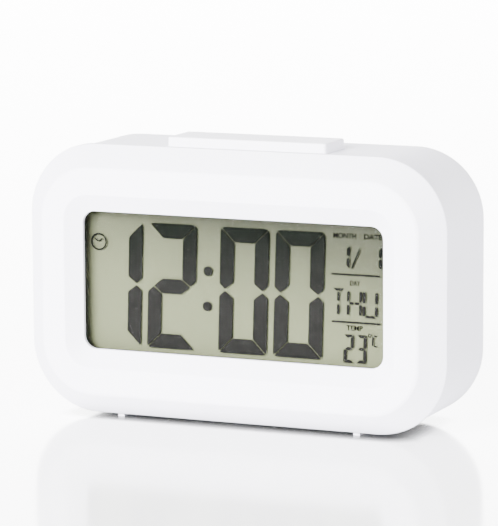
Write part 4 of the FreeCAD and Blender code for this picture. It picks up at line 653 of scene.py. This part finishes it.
class CLOCK_OT_inside(bpy.types.Operator):
    """Finish the boards, the parts on them, the switches and the screws"""
    bl_idname = "clock.inside"
    bl_label = "Boards and fittings"

    def execute(self, context):
        settings = context.scene.clock.inside
        steel = plated_steel("nickel_plated_steel", settings.steel)
        paint(steel, "case_screws", "board_screws", "key_board_screws", "snooze_board_screws", "crystal",
              "contact_plates", "battery_springs")
        paint(glass_fibre_board("laminate_green_mask", settings.board), "main_board", "key_board",
              "snooze_board")
        paint(soft_cover("epoxy_chip_cover", linear("#161617"), roughness=0.35), "clock_chip",
              "temperature_sensor")
        paint(soft_cover("sleeve_blue_black", linear("#20253A"), roughness=0.3), "capacitor")
        paint(soft_cover("thick_film_ceramic", linear("#262626"), roughness=0.45), "chip_resistors")
        paint(moulded_abs("switch_black_moulded", linear("#18181A"), PLAIN_GRAIN, spread=0.08),
              "button_switches", "slide_switch", "snooze_switch", "buzzer")
        return {"FINISHED"}


class CLOCK_OT_power(bpy.types.Operator):
    """Finish the three cells and every lead"""
    bl_idname = "clock.power"
    bl_label = "Cells and leads"

    def execute(self, context):
        settings = context.scene.clock.inside
        for node, raised in (("lower_cell", 1), ("middle_cell", -1), ("upper_cell", 1)):
            low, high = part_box(node)
            paint(sleeved_cell("sleeved_" + node, settings.cell, settings.cell_band, settings.steel,
                               (low[0], high[0], raised)), node)
        paint(soft_cover("pvc_red", settings.red_wire), "positive_lead")
        paint(soft_cover("pvc_black", settings.black_wire), "negative_lead")
        paint(soft_cover("pvc_grey", linear("#9A9A9C")), "buzzer_leads", "snooze_leads", "key_ribbon")
        return {"FINISHED"}


def square_mesh(name, half, level):
    """A flat square: each corner is the half width times a sign along X and along Y, at one level."""
    signs = np.array(((-1, -1), (1, -1), (1, 1), (-1, 1)), dtype=float)
    corners = np.column_stack((signs * half, np.full(4, level)))
    mesh = bpy.data.meshes.new(name)
    mesh.from_pydata(corners.tolist(), [], [(0, 1, 2, 3)])
    return mesh


def soft_light(name, power, side, place, target):
    """A square soft light that faces a point."""
    lamp = bpy.data.lights.new(name, "AREA")
    lamp.size = side
    lamp.energy = power
    holder = bpy.data.objects.new(name, lamp)
    bpy.context.scene.collection.objects.link(holder)
    back = np.array(place, dtype=float) - np.array(target, dtype=float)
    set_pose(holder, place, back / np.linalg.norm(back), 0.0)
    return holder


def set_pose(holder, place, back, roll):
    """Turns a light or camera so that its own Z runs along back, then rolls it."""
    right = np.cross((0.0, 0.0, 1.0), back)
    right /= np.linalg.norm(right)
    up = np.cross(back, right)
    turned_right = right * math.cos(roll) + up * math.sin(roll)
    turned_up = up * math.cos(roll) - right * math.sin(roll)
    matrix = np.eye(4)
    matrix[:3, 0], matrix[:3, 1], matrix[:3, 2], matrix[:3, 3] = turned_right, turned_up, back, place
    holder.matrix_world = Matrix(matrix.tolist())


class CLOCK_OT_stage(bpy.types.Operator):
    """Make the floor, the white surround, the soft light and the camera"""
    bl_idname = "clock.stage"
    bl_label = "Stage"

    def execute(self, context):
        settings = context.scene.clock.stage
        scene = context.scene
        floor = mesh_object("floor", square_mesh("floor", FLOOR_HALF, 0.0),
                            studio_floor("acrylic_white", settings.floor, settings.glow))
        scene.world = lit_surround("surround", settings.surround, settings.backdrop)
        target = middle("front_bezel")
        soft_light("key_softbox", settings.key_power, KEY_SIDE, KEY_PLACE, target)

        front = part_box("front_bezel")
        aim = np.array((0.0, front[0][1] + RIM_BACK, target[2]))
        camera = bpy.data.cameras.new("camera")
        holder = bpy.data.objects.new("camera", camera)
        scene.collection.objects.link(holder)
        turn, rise = settings.turn, settings.rise
        back = np.array((math.sin(turn) * math.cos(rise), -math.cos(turn) * math.cos(rise), math.sin(rise)))
        set_pose(holder, aim + back * settings.distance, back, settings.roll)
        camera.sensor_fit = "VERTICAL"
        camera.sensor_height = SENSOR
        camera.lens = FOCAL_PIXELS * SENSOR / IMAGE_SIZE[1]
        camera.shift_x = (IMAGE_SIZE[0] / 2 - AXIS_PIXEL[0]) / IMAGE_SIZE[1]
        camera.shift_y = (AXIS_PIXEL[1] - IMAGE_SIZE[1] / 2) / IMAGE_SIZE[1]
        camera.clip_start = CLIP_START
        scene.camera = holder
        return {"FINISHED"}


class CLOCK_PT_panel(bpy.types.Panel):
    """Lists the steps that dress the clock"""
    bl_idname = "CLOCK_PT_panel"
    bl_label = "Desk clock"
    bl_space_type = "VIEW_3D"
    bl_region_type = "UI"
    bl_category = "Clock"

    def draw(self, context):
        for step in STEPS:
            self.layout.operator(step.bl_idname)
        for title in ("case", "display", "inside", "stage"):
            group = getattr(context.scene.clock, title)
            column = self.layout.column(heading=title.capitalize())
            for name in group.__annotations__:
                column.prop(group, name)


STEPS = (CLOCK_OT_case, CLOCK_OT_keys, CLOCK_OT_display, CLOCK_OT_display_words, CLOCK_OT_back_words,
         CLOCK_OT_inside, CLOCK_OT_power, CLOCK_OT_stage)
CLASSES = (ClockCaseSettings, ClockDisplaySettings, ClockInsideSettings, ClockStageSettings, ClockSettings,
           *STEPS, CLOCK_PT_panel)


def register():
    """Adds the settings, the steps and the panel."""
    for item in CLASSES:
        bpy.utils.register_class(item)
    bpy.types.Scene.clock = PointerProperty(type=ClockSettings)


def unregister():
    """Takes the settings, the steps and the panel away again."""
    del bpy.types.Scene.clock
    for item in reversed(CLASSES):
        bpy.utils.unregister_class(item)


def main():
    """Dresses the whole clock."""
    register()
    bpy.ops.clock.case()
    bpy.ops.clock.keys()
    bpy.ops.clock.display()
    bpy.ops.clock.display_words()
    bpy.ops.clock.back_words()
    bpy.ops.clock.inside()
    bpy.ops.clock.power()
    bpy.ops.clock.stage()


if __name__ == "__main__":
    main()
